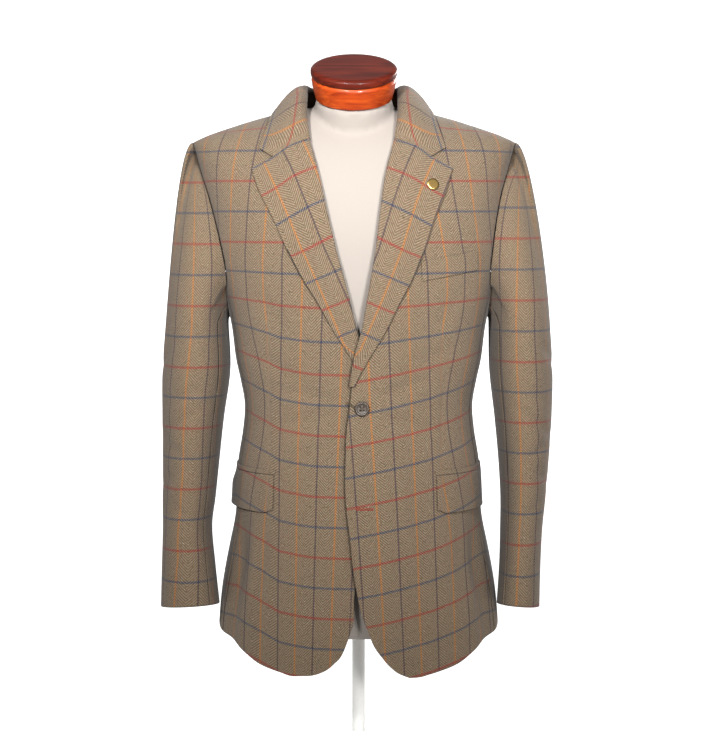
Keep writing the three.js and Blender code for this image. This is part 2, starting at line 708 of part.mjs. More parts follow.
function collarFall() {
  const wrapRadius = STAND_CLOTH / 2 + WRAP_GAP + COLLAR_CLOTH;
  const points = collarStations(13, 0).map(([side, q]) => {
    const { base, top } = collarRow(side, q);
    const mid = onNeck(side, collarAt(q, 'midX'), collarAt(q, 'midG'), collarAt(q, 'midLift') + COLLAR_CLOTH);
    const leaf = onNeck(side, collarAt(q, 'leafX'), collarAt(q, 'leafG'), LEAF_LIFT + COLLAR_CLOTH);
    const up = top.clone().sub(base).normalize();
    const out = mid.clone().sub(top);
    out.addScaledVector(up, -out.dot(up)).normalize();
    const row = [];
    const turnTo = mix(FALL.wrapAtGorge, FALL.wrapBehind, smooth(q * 5));
    row.push(top.clone().addScaledVector(out, -wrapRadius).addScaledVector(up, -FALL.leg));
    for (let k = 0; k <= 3; k += 1) {
      const turn = radians(k / 3 * turnTo);
      row.push(top.clone().addScaledVector(out, -wrapRadius * Math.cos(turn))
        .addScaledVector(up, wrapRadius * Math.sin(turn)));
    }
    const start = row[row.length - 1];
    const lead = start.clone().addScaledVector(out, mid.distanceTo(start) * FALL.lead);
    const curve = new THREE.CubicBezierCurve3(start, lead, mid, leaf);
    const flat = 1 - smooth(q / FALL.flatShare);
    for (let k = 1; k <= FALL.spans; k += 1) {
      const share = k / FALL.spans;
      const bend = FALL.rollSpans / FALL.spans;
      const first = share <= bend;
      const local = first ? share / bend : (share - bend) / (1 - bend);
      const x = first ? mix(collarAt(q, 'rollX'), collarAt(q, 'midX'), local)
        : mix(collarAt(q, 'midX'), collarAt(q, 'leafX'), local);
      const g = first ? mix(collarAt(q, 'rollG'), collarAt(q, 'midG'), local)
        : mix(collarAt(q, 'midG'), collarAt(q, 'leafG'), local);
      const rise = mix(collarAt(q, 'rollLift') + FALL.rollClear, LEAF_LIFT, share);
      const laid = onNeck(side, x, g, rise + COLLAR_CLOTH);
      row.push(curve.getPoint(share).lerp(laid, flat));
    }
    return row;
  });
  return gridWall(points, 0, -COLLAR_CLOTH);
}

// Sleeves
const RIDGE_CLEAR = 0.5;

function armholePoint(side, turn) {
  const w = read(SLEEVE_HEAD, 'turn', 'w', turn);
  const low = SLEEVE_HEAD.filter((row) => row.w === UNDERARM_W);
  let angle;
  let up = w;
  if (turn > low[0].turn && turn < low[1].turn) {
    const share = (turn - low[0].turn) / (low[1].turn - low[0].turn);
    angle = mix(FRONT_SEAM, BACK_SEAM, share);
    up = read(UNDERARM, 'a', 'w', angle);
  } else {
    angle = armholeAngle(Math.min(w, RIDGE_W - RIDGE_CLEAR), turn > 180);
    up = Math.min(w, RIDGE_W - RIDGE_CLEAR);
  }
  const seat = lifted(side * angle, up, 0);
  const downward = smooth((Math.abs(turn - 180) - 20) / 90);
  seat.x += side * mix(SEAT_OUT.under, SEAT_OUT.top, downward);
  seat.z += mix(SEAT_UP.under, SEAT_UP.top, downward);
  return seat;
}

function sleeveSection(side, turn, share) {
  const cuff = CUFF_H + CUFF_FRONT_RISE * Math.sin(radians(turn)) - CUFF_INNER_RISE * Math.cos(radians(turn));
  const level = mix(SLEEVE_TOP_H, CUFF_H, share);
  const h = mix(SLEEVE_TOP_H, cuff, share);
  const name = side < 0 ? 'R' : 'L';
  const outer = read(SLEEVE, 'h', `outer${name}`, level);
  const inner = read(SLEEVE, 'h', `inner${name}`, level);
  const frontY = read(SLEEVE, 'h', 'front', level);
  const backY = read(SLEEVE, 'h', 'back', level);
  const c = Math.cos(radians(turn));
  const s = Math.sin(radians(turn));
  const middle = (outer + inner) / 2;
  return new THREE.Vector3(
    side * (middle + (outer - inner) / 2 * c),
    (frontY + backY) / 2 - (backY - frontY) / 2 * s,
    h + HEM_LEVEL,
  );
}

function sleevePoint(side, anyTurn, t) {
  const turn = (anyTurn + 720) % 360;
  if (t >= HEAD_SHARE) return sleeveSection(side, turn, (t - HEAD_SHARE) / (1 - HEAD_SHARE));
  const from = armholePoint(side, turn);
  const to = sleeveSection(side, turn, 0);
  const below = sleeveSection(side, turn, 0.02);
  const top = (1 + Math.cos(radians(turn))) / 2;
  const facing = Math.sin(radians(turn));
  const leave = new THREE.Vector3(
    side * mix(LEAVE.outUnder, LEAVE.outTop, top),
    LEAVE.forward * facing,
    mix(LEAVE.downUnder, LEAVE.downTop, top),
  );
  leave.multiplyScalar(mix(LEAVE.pullUnder, LEAVE.pullTop, smooth(top * 1.5)));
  const fall = from.z - to.z;
  const pull = Math.max(ARRIVE.least, fall * mix(ARRIVE.under, ARRIVE.top, top));
  const arrive = below.sub(to).normalize().multiplyScalar(pull);
  const u = t / HEAD_SHARE;
  const u2 = u * u;
  const u3 = u2 * u;
  return from.multiplyScalar(2 * u3 - 3 * u2 + 1)
    .addScaledVector(leave, u3 - 2 * u2 + u)
    .addScaledVector(to, 3 * u2 - 2 * u3)
    .addScaledVector(arrive, u3 - u2);
}

function sleeveNormal(side, turn, t) {
  const step = 0.004;
  const around = sleevePoint(side, turn + 2, t).sub(sleevePoint(side, turn - 2, t));
  const lower = sleevePoint(side, turn, Math.min(t + step, 1));
  const down = lower.sub(sleevePoint(side, turn, Math.max(t - step, 0)));
  return around.cross(down).normalize().multiplyScalar(side);
}

function sleevePiece(side, isUpper) {
  const rows = 15;
  const columns = isUpper ? 12 : 6;
  const outer = [];
  const inner = [];
  for (let i = 0; i <= rows; i += 1) {
    const t = i / rows;
    const elbow = mix(ELBOW_SEAM_TOP, ELBOW_SEAM_CUFF, smooth(t));
    const from = isUpper ? elbow - 360 + SLEEVE_GAP_TURN : INNER_SEAM_TURN + SLEEVE_GAP_TURN;
    const to = isUpper ? INNER_SEAM_TURN - SLEEVE_GAP_TURN : elbow - SLEEVE_GAP_TURN;
    const outerRow = [];
    const innerRow = [];
    for (let j = 0; j <= columns; j += 1) {
      const turn = mix(from, to, j / columns);
      const point = sleevePoint(side, turn, t);
      outerRow.push(point);
      innerRow.push(point.clone().addScaledVector(sleeveNormal(side, turn, t), -CLOTH));
    }
    outer.push(outerRow);
    inner.push(innerRow);
  }
  return closedGeometry(outer, inner, false);
}

// Pockets
function flap(side) {
  const frontX = side > 0 ? FLAP.leftX : FLAP.rightX;
  const flare = side > 0 ? FLAP.leftFlare : FLAP.rightFlare;
  const from = Math.abs(angleAt(frontX, FLAP.top));
  return panel(12, 4, (s, t) => {
    const edge = smooth(Math.min(s * 12, 1));
    const bottom = FLAP.bottom + FLAP.corner * (1 - edge);
    const w = mix(bottom, FLAP.top, t);
    return [side * mix(from, FLAP.backAngle, s), w];
  }, POCKET_CLOTH, (s, t, angle, w) => {
    const away = flare * smooth((s - 0.5) * 2) * smooth((1 - t) * 2);
    return POCKET_CLOTH + LAY_GAP + FLAP.kick * (1 - t) + away + lapLift(side, angle, w);
  });
}

function jet(side) {
  const frontX = (side > 0 ? FLAP.leftX : FLAP.rightX) - 2;
  const from = Math.abs(angleAt(frontX, JET.top));
  return panel(12, 1, (s, t) => [side * mix(from, FLAP.backAngle, s), mix(JET.bottom, JET.top, t)],
    JET.cloth, (s, t, angle, w) => JET.cloth + JET.lift + lapLift(side, angle, w));
}

function breastWelt() {
  return panel(6, 3, (s, t) => {
    const x = mix(WELT.innerX, WELT.outerX, s);
    const top = WELT.topInner + (x - WELT.innerX) * WELT.slope;
    const w = mix(top - WELT.depth, top, t);
    return [angleAt(x, w), w];
  }, POCKET_CLOTH, () => POCKET_CLOTH + LAY_GAP + WELT.clear);
}

// Buttons, as shallow dished discs on the cloth
function buttonShape(radius, thick) {
  const rim = radius - 0.8;
  const profile = [
    [0, 0], [rim, 0], [radius, thick * 0.35], [radius, thick * 0.7], [rim - 0.4, thick],
    [radius * 0.68, thick * 0.72], [0, thick * 0.66],
  ];
  const points = profile.map(([r, z]) => new THREE.Vector2(r, z));
  const geometry = new THREE.LatheGeometry(points, 10);
  geometry.rotateX(Math.PI / 2);
  return welded(geometry);
}

function welded(geometry) {
  geometry.deleteAttribute('normal');
  geometry.deleteAttribute('uv');
  const merged = mergeVertices(geometry, 1e-4);
  const kept = [];
  const index = merged.index.array;
  for (let i = 0; i < index.length; i += 3) {
    const [a, b, c] = [index[i], index[i + 1], index[i + 2]];
    if (a !== b && b !== c && a !== c) kept.push(a, b, c);
  }
  merged.setIndex(kept);
  return outward(merged);
}

// Seats a flat-backed piece on a point with its axis along a direction
function seated(geometry, point, direction) {
  const turn = new THREE.Quaternion().setFromUnitVectors(new THREE.Vector3(0, 0, 1), direction);
  geometry.applyQuaternion(turn);
  geometry.translate(point.x, point.y, point.z);
  return geometry;
}

function bodyButton(button, side, name) {
  const angle = angleAt(button.x, button.w);
  const lift = lapLift(side, angle, button.w) + button.seat;
  const geometry = seated(buttonShape(button.radius, button.thick), lifted(angle, button.w, lift),
    coatNormal(angle, button.w));
  add(name, geometry, materials.horn);
}

function sleeveButtons(side, name) {
  for (let k = 0; k < SLEEVE_BUTTON.count; k += 1) {
    const h = SLEEVE_BUTTON.lowest + k * SLEEVE_BUTTON.pitch;
    const share = (SLEEVE_TOP_H - h) / (SLEEVE_TOP_H - CUFF_H);
    const at = (turn, down) => sleeveSection(side, turn, down);
    const across = at(SLEEVE_BUTTON.turn + 3, share).sub(at(SLEEVE_BUTTON.turn - 3, share));
    const down = at(SLEEVE_BUTTON.turn, share + 0.01).sub(at(SLEEVE_BUTTON.turn, share - 0.01));
    const normal = across.cross(down).normalize().multiplyScalar(side);
    const point = at(SLEEVE_BUTTON.turn, share).addScaledVector(normal, BUTTON_SEAT);
    const disc = buttonShape(SLEEVE_BUTTON.radius, SLEEVE_BUTTON.thick);
    add(`${name}_button_${k + 1}`, seated(disc, point, normal), materials.horn);
  }
}

function lapelPin() {
  const angle = angleAt(PIN.x, PIN.w);
  const normal = coatNormal(angle, PIN.w);
  const lift = COLLAR_CLOTH + LAY_GAP + LAPEL.lift + PIN.clear;
  const profile = [
    [0, 0], [PIN.radius, 0], [PIN.radius, PIN.thick * 0.6], [PIN.radius * 0.8, PIN.thick], [0, PIN.thick],
  ];
  const disc = new THREE.LatheGeometry(profile.map(([r, z]) => new THREE.Vector2(r, z)), 18);
  disc.rotateX(Math.PI / 2);
  add('lapel_pin', seated(welded(disc), lifted(angle, PIN.w, lift), normal), materials.pin);
}

// Dress form
function solidOf(geometry) {
  const mesh = new wasm.Mesh({
    numProp: 3,
    vertProperties: new Float32Array(geometry.attributes.position.array),
    triVerts: new Uint32Array(geometry.index.array),
  });
  return new wasm.Manifold(mesh);
}

function geometryOf(solid) {
  const mesh = solid.getMesh();
  const geometry = new THREE.BufferGeometry();
  geometry.setAttribute('position', new THREE.BufferAttribute(new Float32Array(mesh.vertProperties), 3));
  geometry.setIndex([...mesh.triVerts]);
  geometry.computeVertexNormals();
  return geometry;
}

function formTorso() {
  const levels = [
    10, 60, 150, 238, 290, 321, 354, 400, 450, 500, 535, 570, 605, 640, 675, 710, 740, 762, 775, 784,
  ];
  const columns = 30;
  const positions = [];
  const index = [];
  levels.forEach((w) => {
    for (let j = 0; j < columns; j += 1) {
      const angle = -180 + 360 * (j + 0.5) / columns;
      const p = surface(FORM, FORM_SEAT, angle, w);
      positions.push(p.x, p.y, p.z);
    }
  });
  const at = (i, j) => i * columns + (j % columns);
  for (let i = 0; i < levels.length - 1; i += 1) {
    for (let j = 0; j < columns; j += 1) {
      index.push(at(i, j), at(i, j + 1), at(i + 1, j + 1), at(i, j), at(i + 1, j + 1), at(i + 1, j));
    }
  }
  const cap = (row, flip) => {
    const half = columns / 2;
    for (let j = 0; j < half - 1; j += 1) {
      const a = at(row, j);
      const b = at(row, j + 1);
      const c = at(row, columns - 2 - j);
      const d = at(row, columns - 1 - j);
      if (flip) index.push(a, c, b, a, d, c);
      else index.push(a, b, c, a, c, d);
    }
  };
  cap(0, true);
  cap(levels.length - 1, false);
  const geometry = new THREE.BufferGeometry();
  geometry.setAttribute('position', new THREE.Float32BufferAttribute(positions, 3));
  geometry.setIndex(index);
  return outward(geometry);
}

// A turned piece along the neck's leaning axis, from a profile of radius and distance below the cap's top
function onNeckAxis(profile, segments) {
  const lathe = new THREE.LatheGeometry(profile.map(([r, z]) => new THREE.Vector2(r, z)), segments);
  lathe.rotateX(Math.PI / 2);
  lathe.rotateX(radians(NECK.tilt));
  lathe.translate(NECK.x, NECK.capY, NECK.capH + HEM_LEVEL);
  return welded(lathe);
}

function formWithNeck() {
  const neckTop = -(CAP.topThick + CAP.bandHeight + 2 * CAP.gap);
  const neck = onNeckAxis([
    [0, -NECK.reach], [NECK.baseRadius + 2, -NECK.reach], [NECK.baseRadius, -NECK.reach + 30],
    [NECK.topRadius + 1, neckTop - 18], [NECK.topRadius, neckTop], [0, neckTop],
  ], 26);
  return geometryOf(solidOf(formTorso()).add(solidOf(neck)));
}

// Assembly
const group = new THREE.Group();

const materials = {
  tweed: new THREE.MeshStandardMaterial({ color: '#94836a', roughness: 0.95, side: THREE.DoubleSide }),
  horn: new THREE.MeshStandardMaterial({ color: '#857c70', roughness: 0.35 }),
  pin: new THREE.MeshStandardMaterial({ color: '#c9a24c', roughness: 0.3, metalness: 1 }),
  jersey: new THREE.MeshStandardMaterial({ color: '#efe9e0', roughness: 0.85 }),
  cherry: new THREE.MeshStandardMaterial({ color: '#9c3d18', roughness: 0.2 }),
  lacquer: new THREE.MeshStandardMaterial({ color: '#f2f2f0', roughness: 0.3 }),
};

function add(name, geometry, material) {
  const mesh = new THREE.Mesh(geometry, material);
  mesh.name = name;
  group.add(mesh);
}

const SIDES = [{ name: 'left', side: 1 }, { name: 'right', side: -1 }];

SIDES.forEach(({ name, side }) => {
  add(`front_${name}`, front(side), materials.tweed);
  add(`side_${name}`, sidePanel(side), materials.tweed);
  add(`back_${name}`, back(side), materials.tweed);
  add(`lapel_${name}`, lapel(side), materials.tweed);
  add(`sleeve_${name}_upper`, sleevePiece(side, true), materials.tweed);
  add(`sleeve_${name}_under`, sleevePiece(side, false), materials.tweed);
  add(`flap_${name}`, flap(side), materials.tweed);
  add(`jet_${name}`, jet(side), materials.tweed);
  sleeveButtons(side, `sleeve_${name}`);
});
add('collar_stand', collarStand(), materials.tweed);
add('collar', collarFall(), materials.tweed);
add('breast_welt', breastWelt(), materials.tweed);
bodyButton(FRONT_BUTTON, 1, 'button_front');
bodyButton(LOWER_BUTTON, -1, 'button_lower');
lapelPin();

add('form_torso', formWithNeck(), materials.jersey);
const bandTop = -(CAP.topThick + CAP.gap);
const bandFoot = bandTop - CAP.bandHeight;
add('neck_cap_band', onNeckAxis([
  [0, bandFoot], [CAP.bandFoot, bandFoot], [CAP.radius - 2.5, bandTop - CAP.bandHeight * 0.45],
  [CAP.radius - 1, bandTop - 4], [CAP.radius - 3, bandTop], [0, bandTop],
], 28), materials.cherry);
add('neck_cap_top', onNeckAxis([
  [0, -CAP.topThick], [CAP.radius - 2, -CAP.topThick], [CAP.radius, -CAP.topThick + 3],
  [CAP.radius, -3], [CAP.radius - 3, -0.5], [CAP.radius - 7, 0], [0, 0],
], 28), materials.cherry);

const formFoot = FORM_BOTTOM_H + HEM_LEVEL;
const poleLength = formFoot - BASE.thick - 2 * CAP.gap;
const pole = new THREE.CylinderGeometry(POLE_RADIUS, POLE_RADIUS, poleLength, 20);
pole.rotateX(Math.PI / 2);
pole.translate(0, 0, BASE.thick + CAP.gap + poleLength / 2);
add('stand_pole', welded(pole), materials.lacquer);
const disc = new THREE.LatheGeometry([
  [0, 0], [BASE.radius, 0], [BASE.radius, BASE.thick - BASE.edge],
  [BASE.radius - BASE.edge, BASE.thick - 1], [BASE.radius - 14, BASE.thick], [0, BASE.thick],
].map(([r, z]) => new THREE.Vector2(r, z)), 36);
disc.rotateX(Math.PI / 2);
add('stand_base', welded(disc), materials.lacquer);

export default group;
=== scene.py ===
import math

import bmesh
import bpy
import numpy as np
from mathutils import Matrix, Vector


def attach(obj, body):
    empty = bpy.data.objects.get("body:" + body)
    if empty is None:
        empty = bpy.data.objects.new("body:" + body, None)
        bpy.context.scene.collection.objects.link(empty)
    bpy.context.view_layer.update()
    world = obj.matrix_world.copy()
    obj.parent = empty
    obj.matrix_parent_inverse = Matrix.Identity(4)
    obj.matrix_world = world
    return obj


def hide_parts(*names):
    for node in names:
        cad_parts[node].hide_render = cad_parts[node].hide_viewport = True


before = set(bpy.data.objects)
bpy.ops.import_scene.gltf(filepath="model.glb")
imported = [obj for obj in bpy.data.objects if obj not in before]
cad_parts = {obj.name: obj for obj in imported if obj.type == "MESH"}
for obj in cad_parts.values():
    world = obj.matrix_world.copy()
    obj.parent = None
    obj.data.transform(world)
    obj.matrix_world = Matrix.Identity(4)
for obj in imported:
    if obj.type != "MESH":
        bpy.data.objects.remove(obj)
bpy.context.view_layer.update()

MM = 0.001

# Walls and clearances
CLOTH = 2.0
COLLAR_CLOTH = 1.8
STAND_CLOTH = 1.5
POCKET_CLOTH = 1.4
SEAM_GAP = 0.4
LAY_GAP = 0.4
WRAP_GAP = 0.75

# Distance between mesh points along the cloth
MESH_STEP = 3.0

# Levels of the coat and the form
HEM_LEVEL = 195.0
CHEST_H = 535.0
SHOULDER_ARC = 253.0
RIDGE_W = CHEST_H + SHOULDER_ARC
RIDGE_Y = 8.0
FORM_BOTTOM_H = 10.0
FORM_SEAT = 2.9
SECTION_POWER = 2.4
ROUND_FROM = 0.55
ROUND_POWER = 0.5

# How far the shoulders and neck lean towards the wearer's right
SWAY = -6.0
SWAY_FROM_H = 470.0
SWAY_TO_H = 650.0


def table(names, *rows):
    """A table by column, each column an array."""
    columns = np.array(rows, dtype=float).T
    return dict(zip(names.split(), columns))


# Outer section of the coat at each height: half width and depths in front of and behind its middle
BODY = table(
    "h half front back",
    (-40, 197, 141, 129), (0, 195, 139, 128), (56, 189.5, 136, 127), (122, 178, 133, 125),
    (172, 170, 130, 121), (238, 167, 126, 111), (288, 159.4, 121, 100), (321, 157.3, 119, 97),
    (354, 162.8, 119, 99), (383, 169, 120, 102), (430, 175, 123, 108), (485, 187, 126, 113),
    (535, 197, 126, 115),
)

# Section of the dress form at each height
FORM = table(
    "h half front back",
    (10, 148, 108, 100), (60, 154, 114, 106), (150, 156, 116, 108), (238, 153, 112, 99),
    (321, 144, 105, 85), (383, 156, 106, 90), (430, 163, 109, 96), (485, 175, 113, 102),
    (535, 185, 114, 100),
)

# Height of the shoulder ridge against the distance from the neck's middle
RIDGE = table("x h", (0, 729), (78, 728), (102, 719), (135, 710), (168, 699.5), (199, 688.5), (222, 678), (250, 662))

# How much the section widens from the chest to the ridge
FLARE = table("v scale", (0, 1), (0.3, 1.035), (0.6, 1.085), (1, 1.15))

# Hem height against the angle round the body, 0 at the front and 180 at the back
HEM = table(
    "a h",
    (0, -36), (22, -35), (34, -27), (41, -20), (48, -9), (58, 4), (75, 12), (90, 17), (120, 15), (180, 10),
)

# Soft upright folds of the skirt at each side: angle, half width in degrees and depth
SKIRT_FOLDS = ((60, 7, -9), (98, 11, 3), (132, 10, -4))
FOLD_TOP_W = 195.0
FOLD_FULL_W = 95.0
FOLD_HEM_SHARE = 0.35

# Seams round the body, in degrees
FRONT_SEAM = 70.0
BACK_SEAM = 110.0

# The closing line, the roll line on each side of it and the lapel's outer edge, by distance up the cloth
CLOSING = table("w x", (250, 3), (345, 2.5), (428, 1), (495, -1), (560, -2), (640, -2.5), (788, -2))
ROLL = table(
    "w x",
    (300, -14), (352, -11.3), (400, -2.5), (428, 5.9), (480, 17), (557, 34), (620, 47), (669, 59),
    (712, 64.5), (750, 70), (788, 76),
)
LAPEL_EDGE = table(
    "w x",
    (352, -8.5), (373, 1.5), (399, 16.5), (428, 34.3), (467, 55), (495, 71.6), (533, 89.4), (568, 104.5),
    (607, 123), (641, 133.4),
)
# Past the gorge the front is cut back under the collar by this much
NECK_CUT = 8.0
NECK_CUT_FROM_W = 636.0
NECK_CUT_TO_W = 661.0
BREAK_W = 354.0
GORGE_ROLL_W = 670.5
LAPEL_TIP_W = 640.0

# Front edges from the hem to the waist
LEFT_EDGE = table(
    "x h",
    (67.5, -34.7), (52, -27.4), (40, -17), (30.2, -5), (20.2, 9.5), (11.9, 30.6), (2.5, 57), (-6.6, 108),
    (-11.3, 152), (-17.2, 211), (-16.6, 273),
)
RIGHT_EDGE = table(
    "x h",
    (-77.5, -33), (-60, -31.3), (-43.5, -24.7), (-32.4, -15.5), (-22, -3.6), (-11.3, 24), (-6, 44), (-5, 78),
    (6, 120), (14, 200), (16, 273),
)
EDGE_TOP_W = 273.0

# The left front stands off the right front, to lap over it and its button
LAP = 8.5
LAP_FULL_X = 25.0
LAP_END_X = 95.0
LAP_FULL_W = 435.0
LAP_END_W = 600.0

# Armhole edge on the front and back, by distance up the cloth, and under the arm by angle
ARMHOLE = table(
    "w front back",
    (485, 178, 178.5), (513, 179.5, 179), (535, 183, 180), (556, 186.5, 182), (603, 196, 190),
    (657, 208.5, 203), (702, 216, 213), (788, 222, 222),
)
UNDERARM = table("a w", (70, 485), (76, 458), (84, 443), (92, 440), (100, 447), (106, 463), (110, 485))
UNDERARM_W = 485.0

# The armhole round the clock for the sleeve: 0 at the shoulder, 90 at the front, 180 under the arm
SLEEVE_HEAD = table(
    "turn w",
    (0, 788), (35, 702), (60, 640), (90, 560), (118, 485), (242, 485), (270, 560), (300, 640), (325, 702),
    (360, 788),
)
UNDERARM_TURNS = (118.0, 242.0)

# Sleeve sections below the underarm: outer and inner edge of each sleeve, front and back depth
SLEEVE = table(
    "h outer_right inner_right outer_left inner_left front back",
    (48, 271.5, 191, 248.4, 190, -95, 6), (100, 271, 197.5, 250.5, 194, -84, 22),
    (150, 270.5, 202.5, 254, 196, -74, 40), (190, 271, 198, 258.5, 196.5, -71, 50),
    (240, 271, 193, 263, 194, -69, 62), (300, 271.5, 186.5, 267, 188.5, -71, 71),
    (366, 271, 177.5, 268, 181, -75, 77), (430, 266, 179.5, 264, 179.5, -76, 78),
)
SLEEVE_TOP_H = 430.0
CUFF_H = 46.0
CUFF_FRONT_RISE = 6.0
CUFF_INNER_RISE = 2.0
INNER_SEAM_TURN = 138.0
ELBOW_SEAM_TOP = 252.0
ELBOW_SEAM_CUFF = 318.0
SLEEVE_GAP_TURN = 0.25
HEAD_SHARE = 0.38
# How far the sleeve's top edge stands off the armhole's edge. The visual cloth closes the model's seam gap.
SEAT_OUT = {"top": 0.4, "under": 0.3}
SEAT_UP = {"top": 0.2, "under": 0.4}
# The head leaves the armhole outward and a little down, with this pull, and arrives with a share of its fall
LEAVE_OUT = {"top": 1.0, "under": 0.9}
LEAVE_DOWN = {"top": -0.12, "under": -0.15}
LEAVE_PULL = {"top": 54.0, "under": 7.0}
LEAVE_FORWARD = -0.45
ARRIVE = {"top": 1.2, "under": 0.9, "least": 6.0}

# Collar stations from the gorge to the middle of the back. A g up to 788 is on the front, past it on the back.
COLLAR = table(
    "q base_x base_g roll_x roll_g roll_lift mid_x mid_g mid_lift leaf_x leaf_g",
    (0, 66, 669, 59, 671, 0, 105, 652, 1.6, 124, 671),
    (0.2, 69.5, 712, 63, 714, 6.5, 99, 690, 6, 117, 703),
    (0.38, 75.5, 750, 63, 752, 16, 92, 744, 10, 111, 744),
    (0.52, 81.5, 788, 63, 788, 24, 91, 788, 14, 106, 788),
    (0.68, 76, 818, 60, 812, 27, 80, 834, 17, 90, 842),
    (0.84, 45, 853, 38, 834, 28, 50, 862, 17, 55, 878),
    (1, 0, 859, 0, 836, 28, 0, 866, 17, 0, 884),
)
STAND_START_Q = 0.16
LEAF_LIFT = 1.9

# Pockets, by height, and by angle round the body or distance from the middle
FLAP_TOP, FLAP_BOTTOM, FLAP_BACK_ANGLE, FLAP_CORNER = 233.0, 182.0, 93.0, 5.0
FLAP_FRONT_X = {1: 104.0, -1: 113.0}
FLAP_KICK = 1.1
# The right flap's lower back corner flares off the coat
FLAP_FLARE = {1: 0.0, -1: 5.0}
JET_BOTTOM, JET_TOP, JET_LIFT, JET_CLOTH = 233.6, 240.0, 0.4, 1.2
WELT_INNER_X, WELT_OUTER_X, WELT_TOP_INNER, WELT_SLOPE, WELT_DEPTH = 84.0, 159.0, 519.0, 0.187, 26.0

# Buttons and pin
BUTTON_SEAT = 0.6
FRONT_BUTTON = {"x": 4.6, "w": 324.5, "radius": 9.8, "thick": 3.6, "seat": 0.7}
LOWER_BUTTON = {"x": 0.0, "w": 190.0, "radius": 9.8, "thick": 3.2, "seat": -0.1}
SLEEVE_BUTTON = {"radius": 7.2, "thick": 3.2, "turn": 333.0, "lowest": 82.0, "pitch": 15.0, "count": 4}
PIN_X, PIN_W, PIN_RADIUS, PIN_THICK = 102.8, 612.0, 8.0, 1.8

# Dress form neck, cap and stand
NECK = {"x": -6.2, "tilt": 23.0, "cap_y": -46.0, "cap_h": 778.5, "base": 54.0, "top": 52.0, "reach": 118.0}
CAP = {"radius": 58.6, "top_thick": 12.0, "band": 31.0, "band_foot": 52.0, "gap": 0.3}
POLE_RADIUS = 9.0
BASE_RADIUS, BASE_THICK, BASE_EDGE = 130.0, 14.0, 5.0

# The tweed's check, from the photograph: orange and navy warps, red and blue wefts
WARP_REPEAT = 55.5
WEFT_REPEAT = 81.0


# Helpers for numbers and tables
def smooth(value):
    t = np.clip(value, 0, 1)
    return t * t * (3 - 2 * t)


def mix(a, b, t):
    return a + (b - a) * t


def read(rows, key, column, at):
    """A smooth curve through one column of a table, against another column."""
    xs, ys = rows[key], rows[column]
    slopes = np.gradient(ys)
    slopes[1:-1] = (ys[2:] - ys[:-2]) / (xs[2:] - xs[:-2])
    slopes[0] = (ys[1] - ys[0]) / (xs[1] - xs[0])
    slopes[-1] = (ys[-1] - ys[-2]) / (xs[-1] - xs[-2])
    at = np.clip(at, xs[0], xs[-1])
    i = np.clip(np.searchsorted(xs, at, side="right") - 1, 0, len(xs) - 2)
    span = xs[i + 1] - xs[i]
    t = (at - xs[i]) / span
    t2, t3 = t * t, t * t * t
    return (
        (2 * t3 - 3 * t2 + 1) * ys[i] + (t3 - 2 * t2 + t) * span * slopes[i]
        + (3 * t2 - 2 * t3) * ys[i + 1] + (t3 - t2) * span * slopes[i + 1]
    )


def along(rows, column, t):
    """One column of a table part of the way along it, by row."""
    places = np.linspace(0, 1, len(rows[column]))
    return read({"place": places, column: rows[column]}, "place", column, t)


def dot(a, b):
    return np.sum(a * b, axis=-1, keepdims=True)


def unit(vectors):
    return vectors / np.maximum(np.linalg.norm(vectors, axis=-1, keepdims=True), 1e-9)


def points(x, y, z):
    return np.stack(np.broadcast_arrays(x, y, z), axis=-1).astype(float)


# The coat's outer surface. Up to the chest w is the height; above it w runs on over the shoulder.
def sway(h):
    return SWAY * smooth((h - SWAY_FROM_H) / (SWAY_TO_H - SWAY_FROM_H))


def shoulder_share(w):
    return np.clip((w - CHEST_H) / SHOULDER_ARC, 0, 1)


def fold_depth(degrees, w):
    above = smooth((FOLD_TOP_W - w) / (FOLD_TOP_W - FOLD_FULL_W))
    below = mix(FOLD_HEM_SHARE, 1, smooth((w + 20) / (FOLD_FULL_W + 20)))
    fade = np.where(w > FOLD_FULL_W, above, below)
    return fade * sum(depth * np.exp(-(((degrees - a) / spread) ** 2)) for a, spread, depth in SKIRT_FOLDS)


def surface(rows, seat, angle, w, folds=0.0):
    side = np.where(angle < 0, -1.0, 1.0)
    degrees = np.abs(angle)
    level = np.minimum(w, CHEST_H)
    half = read(rows, "h", "half", level)
    depth = np.where(degrees < 90, read(rows, "h", "front", level), read(rows, "h", "back", level))
    s = np.sin(np.radians(degrees))
    c = np.cos(np.radians(degrees))
    k = (np.abs(s) ** SECTION_POWER + np.abs(c) ** SECTION_POWER) ** (-1 / SECTION_POWER)
    swell = 1 + folds * fold_depth(degrees, w) / half
    x = side * half * s * k * swell
    y = -depth * c * k * swell
    v = shoulder_share(w)
    wide = x * read(FLARE, "v", "scale", v)
    ridge = read(RIDGE, "x", "h", np.abs(wide)) - seat
    h = np.where(w <= CHEST_H, w, CHEST_H + (ridge - CHEST_H) * np.sin(v * np.pi / 2))
    outward = smooth((np.abs(x) / half - ROUND_FROM) / (1 - ROUND_FROM))
    power = mix(1, ROUND_POWER, outward)
    deep = RIDGE_Y + (y - RIDGE_Y) * np.maximum(np.cos(v * np.pi / 2), 0) ** power
    return points(np.where(w <= CHEST_H, x, wide) + sway(h), np.where(w <= CHEST_H, y, deep), h + HEM_LEVEL)


def coat(angle, w):
    return surface(BODY, 0, np.asarray(angle, float), np.asarray(w, float), 1.0)


def coat_normal(angle, w):
    step = 0.4
    top = np.minimum(w, RIDGE_W - 0.6)
    around = coat(angle + step, top) - coat(angle - step, top)
    upward = coat(angle, top + step) - coat(angle, top - step)
    return unit(np.cross(around, upward))


